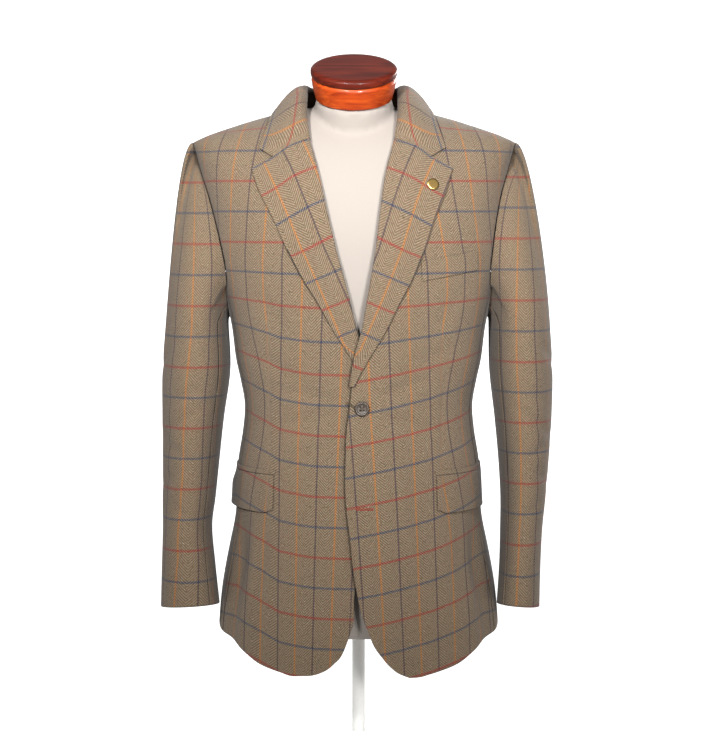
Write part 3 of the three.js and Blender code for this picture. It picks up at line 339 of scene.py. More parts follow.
def angle_at(x, w, back=False):
    """The angle at which the surface has a given distance from its middle."""
    flat = np.abs(x) / read(FLARE, "v", "scale", shoulder_share(w))
    share = np.minimum(0.9999, flat / read(BODY, "h", "half", np.minimum(w, CHEST_H)))
    rest = (1 - share ** SECTION_POWER) ** (1 / SECTION_POWER)
    degrees = np.degrees(np.arctan2(share, rest))
    return np.where(np.asarray(x) < 0, -1, 1) * np.where(back, 180 - degrees, degrees)


def lifted(angle, w, lift):
    """A place on the coat, moved out by a lift along the cloth's normal."""
    return coat(angle, w) + coat_normal(angle, w) * np.asarray(lift, float)[..., None]


def hem_at(angle):
    return read(HEM, "a", "h", np.abs(angle))


def roll_x(side, w):
    return read(CLOSING, "w", "x", w) + side * read(ROLL, "w", "x", w)


def lapel_x(side, w):
    return read(CLOSING, "w", "x", w) + side * read(LAPEL_EDGE, "w", "x", w)


def lap_lift(side, angle, w):
    if side < 0:
        return np.zeros_like(np.asarray(angle + w, float))
    x = coat(angle, w)[..., 0] - sway(w)
    across = 1 - smooth((x - LAP_FULL_X) / (LAP_END_X - LAP_FULL_X))
    up = 1 - smooth((w - LAP_FULL_W) / (LAP_END_W - LAP_FULL_W))
    return LAP * across * up


SEAM_TURN = np.degrees(SEAM_GAP / 2 / 170)


def armhole_angle(w, back):
    x = read(ARMHOLE, "w", "back" if back else "front", w)
    seam = BACK_SEAM if back else FRONT_SEAM
    return np.where(w < UNDERARM_W, seam, np.abs(angle_at(x, w, back)))


# Distance round the body at each level, from the middle of the front, for the cloth's pattern
GIRTH_ANGLES = np.arange(0, 180.01, 1.5)
GIRTH_LEVELS = np.arange(-42, RIDGE_W + 1, 5.0)


def girth_table():
    a, w = np.meshgrid(GIRTH_ANGLES, GIRTH_LEVELS)
    steps = np.linalg.norm(np.diff(surface(BODY, 0, a, w, 1.0), axis=1), axis=-1)
    return np.concatenate([np.zeros((len(GIRTH_LEVELS), 1)), np.cumsum(steps, axis=1)], axis=1)


GIRTH = girth_table()


def girth(angle, w):
    """Distance round the body from the middle of the front, always positive."""
    a = np.clip(np.abs(angle) / 1.5, 0, len(GIRTH_ANGLES) - 1.001)
    r = np.clip((w - GIRTH_LEVELS[0]) / 5.0, 0, len(GIRTH_LEVELS) - 1.001)
    i, j = r.astype(int), a.astype(int)
    fr, fa = r - i, a - j
    low = mix(GIRTH[i, j], GIRTH[i, j + 1], fa)
    high = mix(GIRTH[i + 1, j], GIRTH[i + 1, j + 1], fa)
    return mix(low, high, fr)


# Meshes
def spread(length, step=None):
    """Shares from 0 to 1 for a run of cloth, with one close to each end for the rounded edge."""
    count = max(4, int(round(length / (step or MESH_STEP))))
    near = 0.9 / length
    return np.concatenate([[0], np.linspace(near, 1 - near, count), [1]])


def grids(columns, rows):
    s, t = np.meshgrid(columns, rows)
    return s, t


def add_piece(name, vertices, faces, material, replaces=(), uv=None):
    """Makes a piece from points in millimetres, with its pattern coordinates, riding on the one body."""
    mesh = bpy.data.meshes.new(name)
    mesh.from_pydata([tuple(p) for p in vertices * MM], [], faces)
    if uv is not None:
        layer = mesh.uv_layers.new(name="cloth")
        corners = np.empty(len(mesh.loops), dtype=np.int32)
        mesh.loops.foreach_get("vertex_index", corners)
        layer.data.foreach_set("uv", (uv[corners] * MM).ravel())
    mesh.polygons.foreach_set("use_smooth", [True] * len(mesh.polygons))
    mesh.materials.append(material)
    piece = bpy.data.objects.new(name, mesh)
    bpy.context.scene.collection.objects.link(piece)
    mesh.update()
    if signed_volume(mesh) < 0:
        mesh.flip_normals()
    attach(piece, "root")
    if replaces:
        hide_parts(*replaces)
    return piece


def signed_volume(mesh):
    mesh.calc_loop_triangles()
    corners = np.empty(len(mesh.loop_triangles) * 3, dtype=np.int32)
    mesh.loop_triangles.foreach_get("vertices", corners)
    places = np.empty(len(mesh.vertices) * 3)
    mesh.vertices.foreach_get("co", places)
    places = places.reshape(-1, 3)[corners].reshape(-1, 3, 3)
    return float(np.sum(places[:, 0] * np.cross(places[:, 1], places[:, 2])) / 6)


# The rounded edge of a cloth wall: shares of its depth and of its rounding, from the outside in
RIM = ((0.0, 1.0), (0.18, 0.28), (0.5, 0.0), (0.82, 0.28), (1.0, 1.0))


def wall_mesh(outer, inner, uv, rounding):
    """Vertices, faces and pattern coordinates of a closed wall between two skins, with rounded edges."""
    rows, columns = outer.shape[:2]
    loop = (
        [(0, j) for j in range(columns)] + [(i, columns - 1) for i in range(1, rows)]
        + [(rows - 1, j) for j in range(columns - 2, -1, -1)] + [(i, 0) for i in range(rows - 2, 0, -1)]
    )
    li = np.array([p[0] for p in loop])
    lj = np.array([p[1] for p in loop])
    to_row = np.where(li == 0, 2, np.where(li == rows - 1, -2, 0))
    to_column = np.where(lj == 0, 2, np.where(lj == columns - 1, -2, 0))
    middle = (outer + inner) / 2
    here = middle[li, lj]
    inward = np.zeros_like(here)
    has_row = to_row != 0
    has_column = to_column != 0
    inward[has_row] += unit(middle[li + to_row, lj] - here)[has_row]
    inward[has_column] += unit(middle[li, lj + to_column] - here)[has_column]
    vertices = [outer.reshape(-1, 3).copy(), inner.reshape(-1, 3).copy()]
    flat_uv = uv.reshape(-1, 2)
    uvs = [flat_uv, flat_uv]
    grid_index = li * columns + lj
    count = rows * columns
    rings = []
    base = 2 * count
    for depth, share in RIM:
        place = mix(outer[li, lj], inner[li, lj], depth) + inward * share * rounding
        if depth == 0.0:
            vertices[0][grid_index] = place
            rings.append(grid_index)
        elif depth == 1.0:
            vertices[1][grid_index] = place
            rings.append(grid_index + count)
        else:
            vertices.append(place)
            uvs.append(flat_uv[grid_index])
            rings.append(np.arange(base, base + len(loop)))
            base += len(loop)
    i, j = np.meshgrid(np.arange(rows - 1), np.arange(columns - 1), indexing="ij")
    a = (i * columns + j).ravel()
    quads = [np.stack([a, a + 1, a + columns + 1, a + columns], axis=1)]
    quads.append(np.stack([a, a + columns, a + columns + 1, a + 1], axis=1) + count)
    for first, second in zip(rings[:-1], rings[1:]):
        quads.append(np.stack([first, second, np.roll(second, -1), np.roll(first, -1)], axis=1))
    return np.concatenate(vertices), np.concatenate(quads).tolist(), np.concatenate(uvs)


def cloth_piece(name, outer, inner, uv, rounding=0.8, rests_on=("form_torso",), held="hung", trim=()):
    """A wall of tweed that stands for its node. It measures the width and length of its own middle surface, and returns
    the piece whatever they are.
    """
    vertices, faces, uvs = wall_mesh(outer, inner, uv, rounding)
    piece = add_piece(name + "_cloth", vertices, faces, TWEED_WITH_PAINTED_SHADE, [name], uvs)
    middle = (outer + inner) / 2
    width = float(np.linalg.norm(np.diff(middle, axis=1), axis=-1).sum(axis=1).max()) * MM
    length = float(np.linalg.norm(np.diff(middle, axis=0), axis=-1).sum(axis=0).max()) * MM
    if min(width, length) < NARROW:
        return piece
    return piece


# cloth_piece compares a piece's width and length with this, and returns the piece either way
NARROW = 0.01


# Materials
def linear(colour):
    """A #rrggbb sRGB colour as the linear values that a shader takes."""
    parts = [int(colour[i:i + 2], 16) / 255 for i in (1, 3, 5)]
    return tuple(p / 12.92 if p <= 0.04045 else ((p + 0.055) / 1.055) ** 2.4 for p in parts) + (1.0,)


def node(tree, kind, settings=None, inputs=None):
    """Adds a node with its settings. An input is a value, or the socket that it is linked from."""
    made = tree.nodes.new(kind)
    for name, value in (settings or {}).items():
        setattr(made, name, value)
    for key, value in (inputs or {}).items():
        if isinstance(value, bpy.types.NodeSocket):
            tree.links.new(value, made.inputs[key])
        else:
            made.inputs[key].default_value = value
    return made


def new_material(name):
    material = bpy.data.materials.new(name)
    material.use_nodes = True
    tree = material.node_tree
    shader = tree.nodes["Principled BSDF"]
    return material, tree, shader


# Sizes in the weave, in metres: the herringbone's stripe, its twill line and the wool's flecks
HERRINGBONE = 0.0139
TWILL = 0.0037
FLECK = 0.0012


def woven_tweed_with_painted_shade():
    """Herringbone wool tweed: light warp and dark weft of mixed wool, with a coloured windowpane check, and painted
    shade that darkens it in folds, along seams and where parts lie close.
    """
    material, tree, shader = new_material("woven_tweed_with_painted_shade")
    uv = node(tree, "ShaderNodeUVMap", {"uv_map": "cloth"}).outputs["UV"]
    split = node(tree, "ShaderNodeSeparateXYZ", None, {0: uv})
    across, along_cloth = split.outputs[0], split.outputs[1]

    zigzag = node(tree, "ShaderNodeMath", {"operation": "PINGPONG"}, {0: across, 1: HERRINGBONE})
    phase = node(tree, "ShaderNodeMath", {"operation": "ADD"}, {0: along_cloth, 1: zigzag.outputs[0]})
    turns = node(tree, "ShaderNodeMath", {"operation": "MULTIPLY"}, {0: phase.outputs[0], 1: 2 * math.pi / TWILL})
    wave = node(tree, "ShaderNodeMath", {"operation": "SINE"}, {0: turns.outputs[0]})
    warp_up = node(
        tree, "ShaderNodeMapRange", {"interpolation_type": "SMOOTHSTEP"},
        {"Value": wave.outputs[0], "From Min": -0.75, "From Max": 0.75},
    ).outputs["Result"]

    # Wool flecks: two noises of mixed fibre colour, one for the light yarn and one for the dark
    flecks = node(tree, "ShaderNodeTexNoise", None, {"Vector": uv, "Scale": 1 / FLECK / 2.6, "Detail": 2.0, "Roughness": 0.7})
    light = node(tree, "ShaderNodeValToRGB", None, {"Fac": flecks.outputs["Fac"]})
    ramp(light, ((0.30, "#544632"), (0.42, "#6d5f4b"), (0.52, "#7a6d5a"), (0.60, "#6b5f4b"), (0.70, "#968975")))
    coarse = node(tree, "ShaderNodeTexNoise", None, {"Vector": uv, "Scale": 1 / FLECK / 3.1, "Detail": 2.0, "Roughness": 0.75})
    dark = node(tree, "ShaderNodeValToRGB", None, {"Fac": coarse.outputs["Color"]})
    ramp(dark, ((0.30, "#2e251b"), (0.42, "#504436"), (0.50, "#624638"), (0.58, "#4a4431"), (0.70, "#6c5d48")))
    ground = node(
        tree, "ShaderNodeMix", {"data_type": "RGBA"},
        {"Factor": warp_up, "A": dark.outputs["Color"], "B": light.outputs["Color"]},
    ).outputs["Result"]

    colour = ground
    lines = (
        (across, WARP_REPEAT, 0.0, 0.0014, "#9c6128", 0.20, 0.78),
        (across, WARP_REPEAT, 0.5, 0.0012, "#221c30", 0.18, 0.88),
        (along_cloth, WEFT_REPEAT, 0.0, 0.0018, "#6e201c", 0.90, 0.42),
        (along_cloth, WEFT_REPEAT, 0.5, 0.0017, "#1e2b40", 0.90, 0.36),
    )
    for axis, repeat, start, half_width, tint, at_low, at_high in lines:
        size = repeat * MM
        moved = node(tree, "ShaderNodeMath", {"operation": "ADD"}, {0: axis, 1: start * size})
        near = node(
            tree, "ShaderNodeMath", {"operation": "WRAP"}, {0: moved.outputs[0], 1: size / 2, 2: -size / 2},
        )
        away = node(tree, "ShaderNodeMath", {"operation": "ABSOLUTE"}, {0: near.outputs[0]})
        inside = node(
            tree, "ShaderNodeMapRange", {"interpolation_type": "SMOOTHSTEP"},
            {"Value": away.outputs[0], "From Min": half_width * 1.25, "From Max": half_width * 0.55},
        )
        shown = node(
            tree, "ShaderNodeMapRange", None, {"Value": warp_up, "To Min": at_low, "To Max": at_high},
        )
        share = node(
            tree, "ShaderNodeMath", {"operation": "MULTIPLY"}, {0: inside.outputs[0], 1: shown.outputs[0]},
        )
        colour = node(
            tree, "ShaderNodeMix", {"data_type": "RGBA"}, {"Factor": share.outputs[0], "A": colour, "B": linear(tint)},
        ).outputs["Result"]

    # Painted shade: an ambient occlusion node darkens the colour towards dark brown in folds, along seams and where the
    # sleeves hang close to the body
    painted_shade_occlusion = node(tree, "ShaderNodeAmbientOcclusion", {"samples": 16}, {"Distance": 0.12})
    depth = node(
        tree, "ShaderNodeMapRange", {"interpolation_type": "SMOOTHSTEP"},
        {"Value": painted_shade_occlusion.outputs["AO"], "From Min": 0.1, "From Max": 0.95, "To Min": 0.3, "To Max": 1.0},
    )
    # Mixes the painted shade's dark brown into the tweed's colour where the occlusion is low
    colour = node(
        tree, "ShaderNodeMix", {"data_type": "RGBA"},
        {"Factor": depth.outputs[0], "A": linear("#1c140c"), "B": colour},
    ).outputs["Result"]
    tree.links.new(colour, shader.inputs["Base Color"])
    shader.inputs["Roughness"].default_value = 0.92
    shader.inputs["Specular IOR Level"].default_value = 0.15
    shader.inputs["Sheen Weight"].default_value = 0.12
    shader.inputs["Sheen Roughness"].default_value = 0.6
    relief = node(tree, "ShaderNodeMath", {"operation": "MULTIPLY_ADD"}, {0: flecks.outputs["Fac"], 1: 0.9, 2: warp_up})
    bump = node(tree, "ShaderNodeBump", None, {"Strength": 0.5, "Distance": 0.0005, "Height": relief.outputs[0]})
    tree.links.new(bump.outputs["Normal"], shader.inputs["Normal"])
    return material


def ramp(made, stops):
    """Sets a colour ramp's stops, each a place and a #rrggbb colour."""
    elements = made.color_ramp.elements
    while len(elements) > 1:
        elements.remove(elements[-1])
    elements[0].position, elements[0].color = stops[0][0], linear(stops[0][1])
    for place, colour in stops[1:]:
        elements.new(place).color = linear(colour)


def plain(name, colour, roughness, noise_scale=900.0, spread_of_colour=0.06, metallic=0.0, bump_depth=0.0001):
    """A smooth or slightly grained surface: its colour varies a little with a fine noise."""
    material, tree, shader = new_material(name)
    place = node(tree, "ShaderNodeTexCoord").outputs["Object"]
    grain = node(tree, "ShaderNodeTexNoise", None, {"Vector": place, "Scale": noise_scale, "Detail": 3.0})
    tone = node(
        tree, "ShaderNodeMapRange", None,
        {"Value": grain.outputs["Fac"], "From Min": 0.3, "From Max": 0.7, "To Min": 1 - spread_of_colour, "To Max": 1 + spread_of_colour},
    )
    tinted = node(
        tree, "ShaderNodeVectorMath", {"operation": "SCALE"}, {0: linear(colour)[:3], "Scale": tone.outputs[0]},
    )
    tree.links.new(tinted.outputs[0], shader.inputs["Base Color"])
    shader.inputs["Roughness"].default_value = roughness
    shader.inputs["Metallic"].default_value = metallic
    bump = node(tree, "ShaderNodeBump", None, {"Strength": 0.4, "Distance": bump_depth, "Height": grain.outputs["Fac"]})
    tree.links.new(bump.outputs["Normal"], shader.inputs["Normal"])
    return material


def varnished_cherry(name, stops):
    """Turned cherry under red-brown stain and gloss varnish: fine grain round the turning, clear highlights."""
    material, tree, shader = new_material(name)
    place = node(tree, "ShaderNodeTexCoord").outputs["Object"]
    stretch = node(tree, "ShaderNodeMapping", None, {"Vector": place, "Scale": (6.0, 40.0, 90.0)})
    grain = node(tree, "ShaderNodeTexNoise", None, {"Vector": stretch.outputs[0], "Scale": 2.2, "Detail": 5.0, "Distortion": 0.6})
    tone = node(tree, "ShaderNodeValToRGB", None, {"Fac": grain.outputs["Fac"]})
    ramp(tone, stops)
    tree.links.new(tone.outputs["Color"], shader.inputs["Base Color"])
    shader.inputs["Roughness"].default_value = 0.45
    shader.inputs["Specular IOR Level"].default_value = 0.2
    shader.inputs["Coat Weight"].default_value = 0.2
    shader.inputs["Coat Roughness"].default_value = 0.12
    return material


# The tweed material carries painted shade in its folds and seams
TWEED_WITH_PAINTED_SHADE = woven_tweed_with_painted_shade()
JERSEY = plain("cream_jersey", "#8f8780", 0.85, 1400.0, 0.03)
HORN = plain("polished_horn", "#40372f", 0.42, 260.0, 0.25)
THREAD_DARK = plain("sewing_thread_brown", "#4a3f30", 0.7)
THREAD_RED = plain("sewing_thread_red", "#a0402e", 0.7)
THREAD_PICK = plain("pick_thread_tan", "#8a7454", 0.75)
BRASS = plain("polished_brass", "#b39458", 0.32, 300.0, 0.05, 1.0)
CHERRY = varnished_cherry("varnished_cherry", ((0.32, "#82290a"), (0.5, "#a03a0f"), (0.68, "#b44a14")))
CHERRY_DARK = varnished_cherry("dark_varnished_cherry", ((0.32, "#3c0f06"), (0.5, "#52160a"), (0.68, "#63200e")))
LACQUER = plain("white_lacquer", "#f1f1ee", 0.3, 300.0, 0.02)


# The pattern's place on each piece, read from the photograph
WEFT_RED_AT = 44.0
WARP_ORANGE_AT = {-1: 25.0, 1: 15.3}
# Warps lean outward below the waist, less so further out, and inward above it
WARP_WAIST_W = 320.0
WARP_LEAN_LOW = {-1: (0.055, 0.00045), 1: (0.075, 0.0004)}
WARP_LEAN_HIGH = 0.035
WARP_CHEST_W = 520.0
WARP_LEAN_CHEST = 0.15
# Wefts rise towards the sides at the waist and below, and lie level at the chest
WEFT_RISE = {
    -1: ((0, 17, 60, 83, 106, 124, 145, 165), (0, 0, 1, 3.8, 7.5, 16.4, 25, 32)),
    1: ((-15, 43, 96, 137, 170), (-14.4, -3, 8.3, 21, 35)),
}
WEFT_CHEST_RISE = 14.5
WEFT_RISE_FROM_W, WEFT_RISE_TO_W = {-1: 350.0, 1: 300.0}, 540.0
# The front darts take in cloth: their distance from the middle, the most that they take, and their levels
DART_X = {-1: 121.0, 1: 110.0}
DART_TAKES = 29.0
DART_TOP_W, DART_FULL_W, DART_END_W = 480.0, 325.0, 130.0
DART_WIDTH = 1.6
DART_GROOVE, DART_GROOVE_WIDTH = 0.9, 3.0


def dart_share(w):
    above = smooth((DART_TOP_W - w) / (DART_TOP_W - DART_FULL_W))
    below = smooth((w - DART_END_W) / (DART_FULL_W - DART_END_W))
    return np.where(w > DART_FULL_W, above, below)


# From this distance up, the cloth turns over the shoulder
SHOULDER_TURN_W = CHEST_H + 0.6 * SHOULDER_ARC


def laid_height(angle, w):
    """Height up the hanging cloth, then the way over the shoulder, so that the check keeps its size there."""
    below = coat(angle, np.minimum(w, SHOULDER_TURN_W))
    over = np.linalg.norm(coat(angle, w) - below, axis=-1)
    return below[..., 2] - HEM_LEVEL + over


def front_weave(side, angle, w):
    """Pattern coordinates of the fronts and sides, from the height and the distance round the body."""
    place = coat(angle, w)
    x = side * (place[..., 0] - sway(place[..., 2] - HEM_LEVEL))
    out = girth(angle, w) * np.where(angle * side < 0, -1, 1)
    low, fade = WARP_LEAN_LOW[side]
    down = np.maximum(WARP_WAIST_W - w, 0) * np.maximum(low - fade * out, 0)
    up = WARP_LEAN_HIGH * (np.clip(w, WARP_WAIST_W, WARP_CHEST_W) - WARP_WAIST_W)
    up = up + WARP_LEAN_CHEST * np.maximum(w - WARP_CHEST_W, 0)
    taken = DART_TAKES * dart_share(w) * smooth((x - DART_X[side]) / DART_WIDTH)
    u = out - WARP_ORANGE_AT[side] - down + up + taken
    waist_rise = np.interp(x, *WEFT_RISE[side])
    from_w = WEFT_RISE_FROM_W[side]
    rise = mix(waist_rise, WEFT_CHEST_RISE, smooth((w - from_w) / (WEFT_RISE_TO_W - from_w)))
    rise = mix(rise, WEFT_CHEST_RISE, smooth((np.abs(angle) - FRONT_SEAM) / (BACK_SEAM - FRONT_SEAM)))
    return np.stack([side * u, laid_height(angle, w) - rise - WEFT_RED_AT], axis=-1)


def back_weave(side, angle, w):
    whole = GIRTH[:, -1]
    half_round = np.interp(w, GIRTH_LEVELS, whole)
    out = half_round - girth(angle, w)
    height = laid_height(angle, w)
    return np.stack([side * (out + WARP_REPEAT / 4), height - WEFT_CHEST_RISE - WEFT_RED_AT], axis=-1)


# Soft creases of the visual cloth: two ends as distance from the middle and height, half width and depth
CREASES = {
    -1: (
        ((14, 330), (120, 352), 8, -1.6), ((20, 318), (118, 300), 9, -1.3), ((60, 350), (140, 395), 10, -1.4),
        ((30, 296), (100, 262), 9, 1.1), ((95, 420), (150, 500), 12, -1.2), ((48, 240), (92, 150), 11, 1.2),
        ((125, 160), (140, 60), 10, -1.8),
    ),
    1: (
        ((16, 336), (100, 366), 8, -1.6), ((18, 314), (110, 292), 9, -1.5), ((60, 372), (140, 410), 11, -1.2),
        ((28, 290), (96, 250), 9, 1.1), ((100, 420), (150, 505), 12, -1.3), ((50, 220), (80, 110), 12, 1.2),
        ((132, 165), (146, 60), 10, -1.8),
    ),
}
CREASE_TOP_W = 520.0
CREASE_FADE = 90.0
CREASE_GAIN = 1.7


def crease(angle, w):
    """How far the coat's soft creases move the cloth in or out. They fade below the armhole and at the seams."""
    side = np.where(np.asarray(angle) < 0, -1, 1)
    x = np.abs(coat(angle, w)[..., 0])
    total = np.zeros_like(x)
    for one_side, folds in CREASES.items():
        for (x0, w0), (x1, w1), half, depth in folds:
            run = np.array([x1 - x0, w1 - w0], float)
            share = np.clip(((x - x0) * run[0] + (w - w0) * run[1]) / (run @ run), 0, 1)
            gap = np.hypot(x - x0 - share * run[0], w - w0 - share * run[1])
            shape = depth * np.exp(-((gap / half) ** 2)) * np.sin(np.pi * np.clip(share, 0.04, 0.96)) ** 0.5
            total = total + np.where(side == one_side, shape, 0)
    groove = np.zeros_like(x)
    for one_side, dart_x in DART_X.items():
        line = np.exp(-(((x - dart_x) / DART_GROOVE_WIDTH) ** 2)) * dart_share(np.maximum(w, JET_TOP))
        groove = groove - np.where((side == one_side) & (w > JET_TOP + 4), DART_GROOVE * line, 0)
    off_middle = smooth((x - 18) / 30)
    total = total * off_middle * smooth((CREASE_TOP_W - w) / CREASE_FADE) * smooth((w - 10) / 40)
    return (CREASE_GAIN * total + groove) * smooth((FRONT_SEAM - np.abs(angle)) / 8)


# Body panels
def lower_front(side, s, t):
    """The front below the waist, spanned between its edge, the hem, the side seam and the waist line."""
    rows = LEFT_EDGE if side > 0 else RIGHT_EDGE
    seam = FRONT_SEAM - SEAM_TURN

    def edge(u):
        x, h = along(rows, "x", u), along(rows, "h", u)
        return np.stack([angle_at(x, h), h])

    corner = edge(np.zeros_like(s))
    waist = edge(np.ones_like(s))

    def hem(u):
        angle = mix(corner[0], side * seam, u)
        blend = smooth(u * 6)
        return np.stack([angle, mix(mix(corner[1], hem_at(corner[0]), blend), hem_at(angle), blend)])

    side_hem = hem_at(seam)
    seam_line = np.stack([np.full_like(t, side * seam), mix(side_hem, EDGE_TOP_W, t)])
    waist_line = np.stack([mix(waist[0], side * seam, s), np.full_like(s, EDGE_TOP_W)])
    hem_end = hem(np.ones_like(s))
    seam_top = np.stack([np.full_like(t, side * seam), np.full_like(t, EDGE_TOP_W)])
    corners = (1 - s) * (1 - t) * corner + s * (1 - t) * hem_end + (1 - s) * t * waist + s * t * seam_top
    return (1 - s) * edge(t) + s * seam_line + (1 - t) * hem(s) + t * waist_line - corners


def front_inner_x(side, w):
    edge_x = (LEFT_EDGE if side > 0 else RIGHT_EDGE)["x"][-1]
    cut = NECK_CUT * smooth((w - NECK_CUT_FROM_W) / (NECK_CUT_TO_W - NECK_CUT_FROM_W))
    roll = roll_x(side, w) + side * cut
    return mix(edge_x, roll, smooth((w - EDGE_TOP_W) / 75))


def ridge_line(s):
    return RIDGE_W - mix(0.3, 0.02, s)


def panel_piece(name, angle, w, rise, cloth, uv, **more):
    rise = rise + crease(angle, w)
    outer = lifted(angle, w, rise)
    inner = lifted(angle, w, rise - cloth)
    return cloth_piece(name, outer, inner, uv, **more)


def stacked(*stretches):
    """Joins stretches of rows whose ends meet, without repeating the shared row."""
    return np.concatenate([part if i == 0 else part[1:] for i, part in enumerate(stretches)], axis=0)


def even(length):
    return np.linspace(0, 1, max(3, int(round(length / MESH_STEP)) + 1))


def front(side, name):
    columns = spread(205)
    s, t = grids(columns, np.concatenate([[0, 0.9 / 300], even(297)[1:]]))
    low_angle, low_w = lower_front(side, s, t)
    s2, t2 = grids(columns, np.concatenate([even(RIDGE_W - EDGE_TOP_W)[:-1], [1 - 0.9 / 500, 1]]))
    w = mix(EDGE_TOP_W, ridge_line(s2), t2)
    inner = angle_at(front_inner_x(side, w), w)
    outer = side * (armhole_angle(w, False) - SEAM_TURN)
    angle = stacked(low_angle, mix(inner, outer, s2))
    w = stacked(low_w, w)
    panel_piece(name, angle, w, lap_lift(side, angle, w), CLOTH, front_weave(side, angle, w))


def side_panel(side, name):
    s, t = grids(spread(125), spread(460))
    degrees = mix(FRONT_SEAM + SEAM_TURN, BACK_SEAM - SEAM_TURN, s)
    w = mix(hem_at(degrees), read(UNDERARM, "a", "w", degrees) - SEAM_GAP, t)
    angle = side * degrees
    panel_piece(name, angle, w, np.zeros_like(w), CLOTH, front_weave(side, angle, w))


# The neck's seam on the back, by distance up the cloth
ON_BACK = COLLAR["base_g"] >= RIDGE_W
NECK_SEAM_BACK = {
    "w": (2 * RIDGE_W - COLLAR["base_g"][ON_BACK])[::-1],
    "x": COLLAR["base_x"][ON_BACK][::-1],
}
CENTRE_GAP_TURN = 0.1


def back(side, name):
    s, t = grids(spread(200), spread(770))
    probe = mix(180, BACK_SEAM + SEAM_TURN, s)
    hem = hem_at(probe)
    w = mix(hem, ridge_line(s), t)
    outer = armhole_angle(w, True) + SEAM_TURN
    neck_w = NECK_SEAM_BACK["w"][0]
    neck_x = read(NECK_SEAM_BACK, "w", "x", w) + SEAM_GAP
    inner = np.where(w > neck_w, np.abs(angle_at(neck_x, w, True)), 180 - CENTRE_GAP_TURN)
    angle = side * mix(inner, outer, s)
    panel_piece(name, angle, w, np.zeros_like(w), CLOTH, back_weave(side, angle, w))


def grid_wall(name, grid, outer_off, inner_off, uv, **more):
    """A wall on a grid of points, whose two skins stand off it along the grid's normals."""
    down = np.gradient(grid, axis=0)
    over = np.gradient(grid, axis=1)
    normal = unit(np.cross(over, down))
    cloth_piece(name, grid + normal * outer_off, grid + normal * inner_off, uv, **more)
    return normal


# Sewing
PICK_COLUMN = -3
PICK_PITCH, PICK_LENGTH, PICK_RADIUS = 4.8, 2.0, 0.28
WORKED_PITCH, WORKED_HALF, WORKED_RADIUS, WORKED_SLIT = 0.8, 1.7, 0.42, 0.25


def pick_stitches(name, line, normal):
    """Small prick stitches along a line of points, each just proud of the cloth."""
    run = running_length(line)
    starts = np.arange(2.0, run[-1] - PICK_LENGTH, PICK_PITCH)
    paths = []
    for start in starts:
        places = start + PICK_LENGTH * np.array([0, 0.5, 1])
        lift = np.array([-0.15, 0.2, -0.15])[:, None]
        here = np.stack([np.interp(places, run, line[:, k]) for k in range(3)], axis=1)
        away = np.stack([np.interp(places, run, normal[:, k]) for k in range(3)], axis=1)
        paths.append(here + away * lift)
    vertices, faces = tubes(paths, PICK_RADIUS, 5)
    add_piece(name, vertices, faces, THREAD_PICK)


def on_front(side, x, w, lift):
    """A place on the visual cloth of a front, by distance from the middle and up the cloth."""
    x, w = np.asarray(x, float), np.asarray(w, float)
    angle = angle_at(x, w)
    return lifted(angle, w, lap_lift(side, angle, w) + crease(angle, w) + lift)


def buttonhole(name, side, start, end, material):
    """A worked buttonhole: close stitches over both lips of a slit, with a bar across its ends."""
    start, end = np.array(start, float), np.array(end, float)
    run = end - start
    length = float(np.hypot(*run))
    over = np.array([-run[1], run[0]]) / length
    paths = []
    for place in np.arange(0, length, WORKED_PITCH):
        at = start + run * place / length
        for lip in (-1, 1):
            spots = [at + over * lip * reach for reach in (WORKED_SLIT, WORKED_HALF * 0.5, WORKED_HALF)]
            x, w = np.array(spots).T
            paths.append(on_front(side, x, w, np.array([0.1, 0.45, -0.1])))
    for at in (start, end):
        spots = [at + over * reach for reach in np.linspace(-WORKED_HALF - 0.4, WORKED_HALF + 0.4, 5)]
        x, w = np.array(spots).T
        paths.append(on_front(side, x, w, np.array([-0.1, 0.5, 0.6, 0.5, -0.1])))
    vertices, faces = tubes(paths, WORKED_RADIUS, 5)
    add_piece(name, vertices, faces, material)


def edge_picking(side):
    """Prick stitches along a front's closing edge and its cutaway."""
    rows = LEFT_EDGE if side > 0 else RIGHT_EDGE
    u = np.linspace(0.06, 1, 120)
    x, w = along(rows, "x", u), along(rows, "h", u)
    inward = unit(np.stack([np.gradient(w), -np.gradient(x)], axis=1)) * 5.0 * side
    x, w = x + inward[:, 0], w + inward[:, 1]
    angle = angle_at(x, w)
    pick_stitches(f"front_{'left' if side > 0 else 'right'}_picking", on_front(side, x, w, 0.0), coat_normal(angle, w))


# Lapels
LAPEL_TURN = 23.0
LAPEL_LEG = 4.0
LAPEL_BULGE = 2.6
LAPEL_WARP_AT = {-1: WARP_REPEAT / 2 - 4, 1: 11.0}
LAPEL_WEFT_AT = {-1: WEFT_REPEAT / 2 - 8, 1: WEFT_REPEAT / 2 - 11}


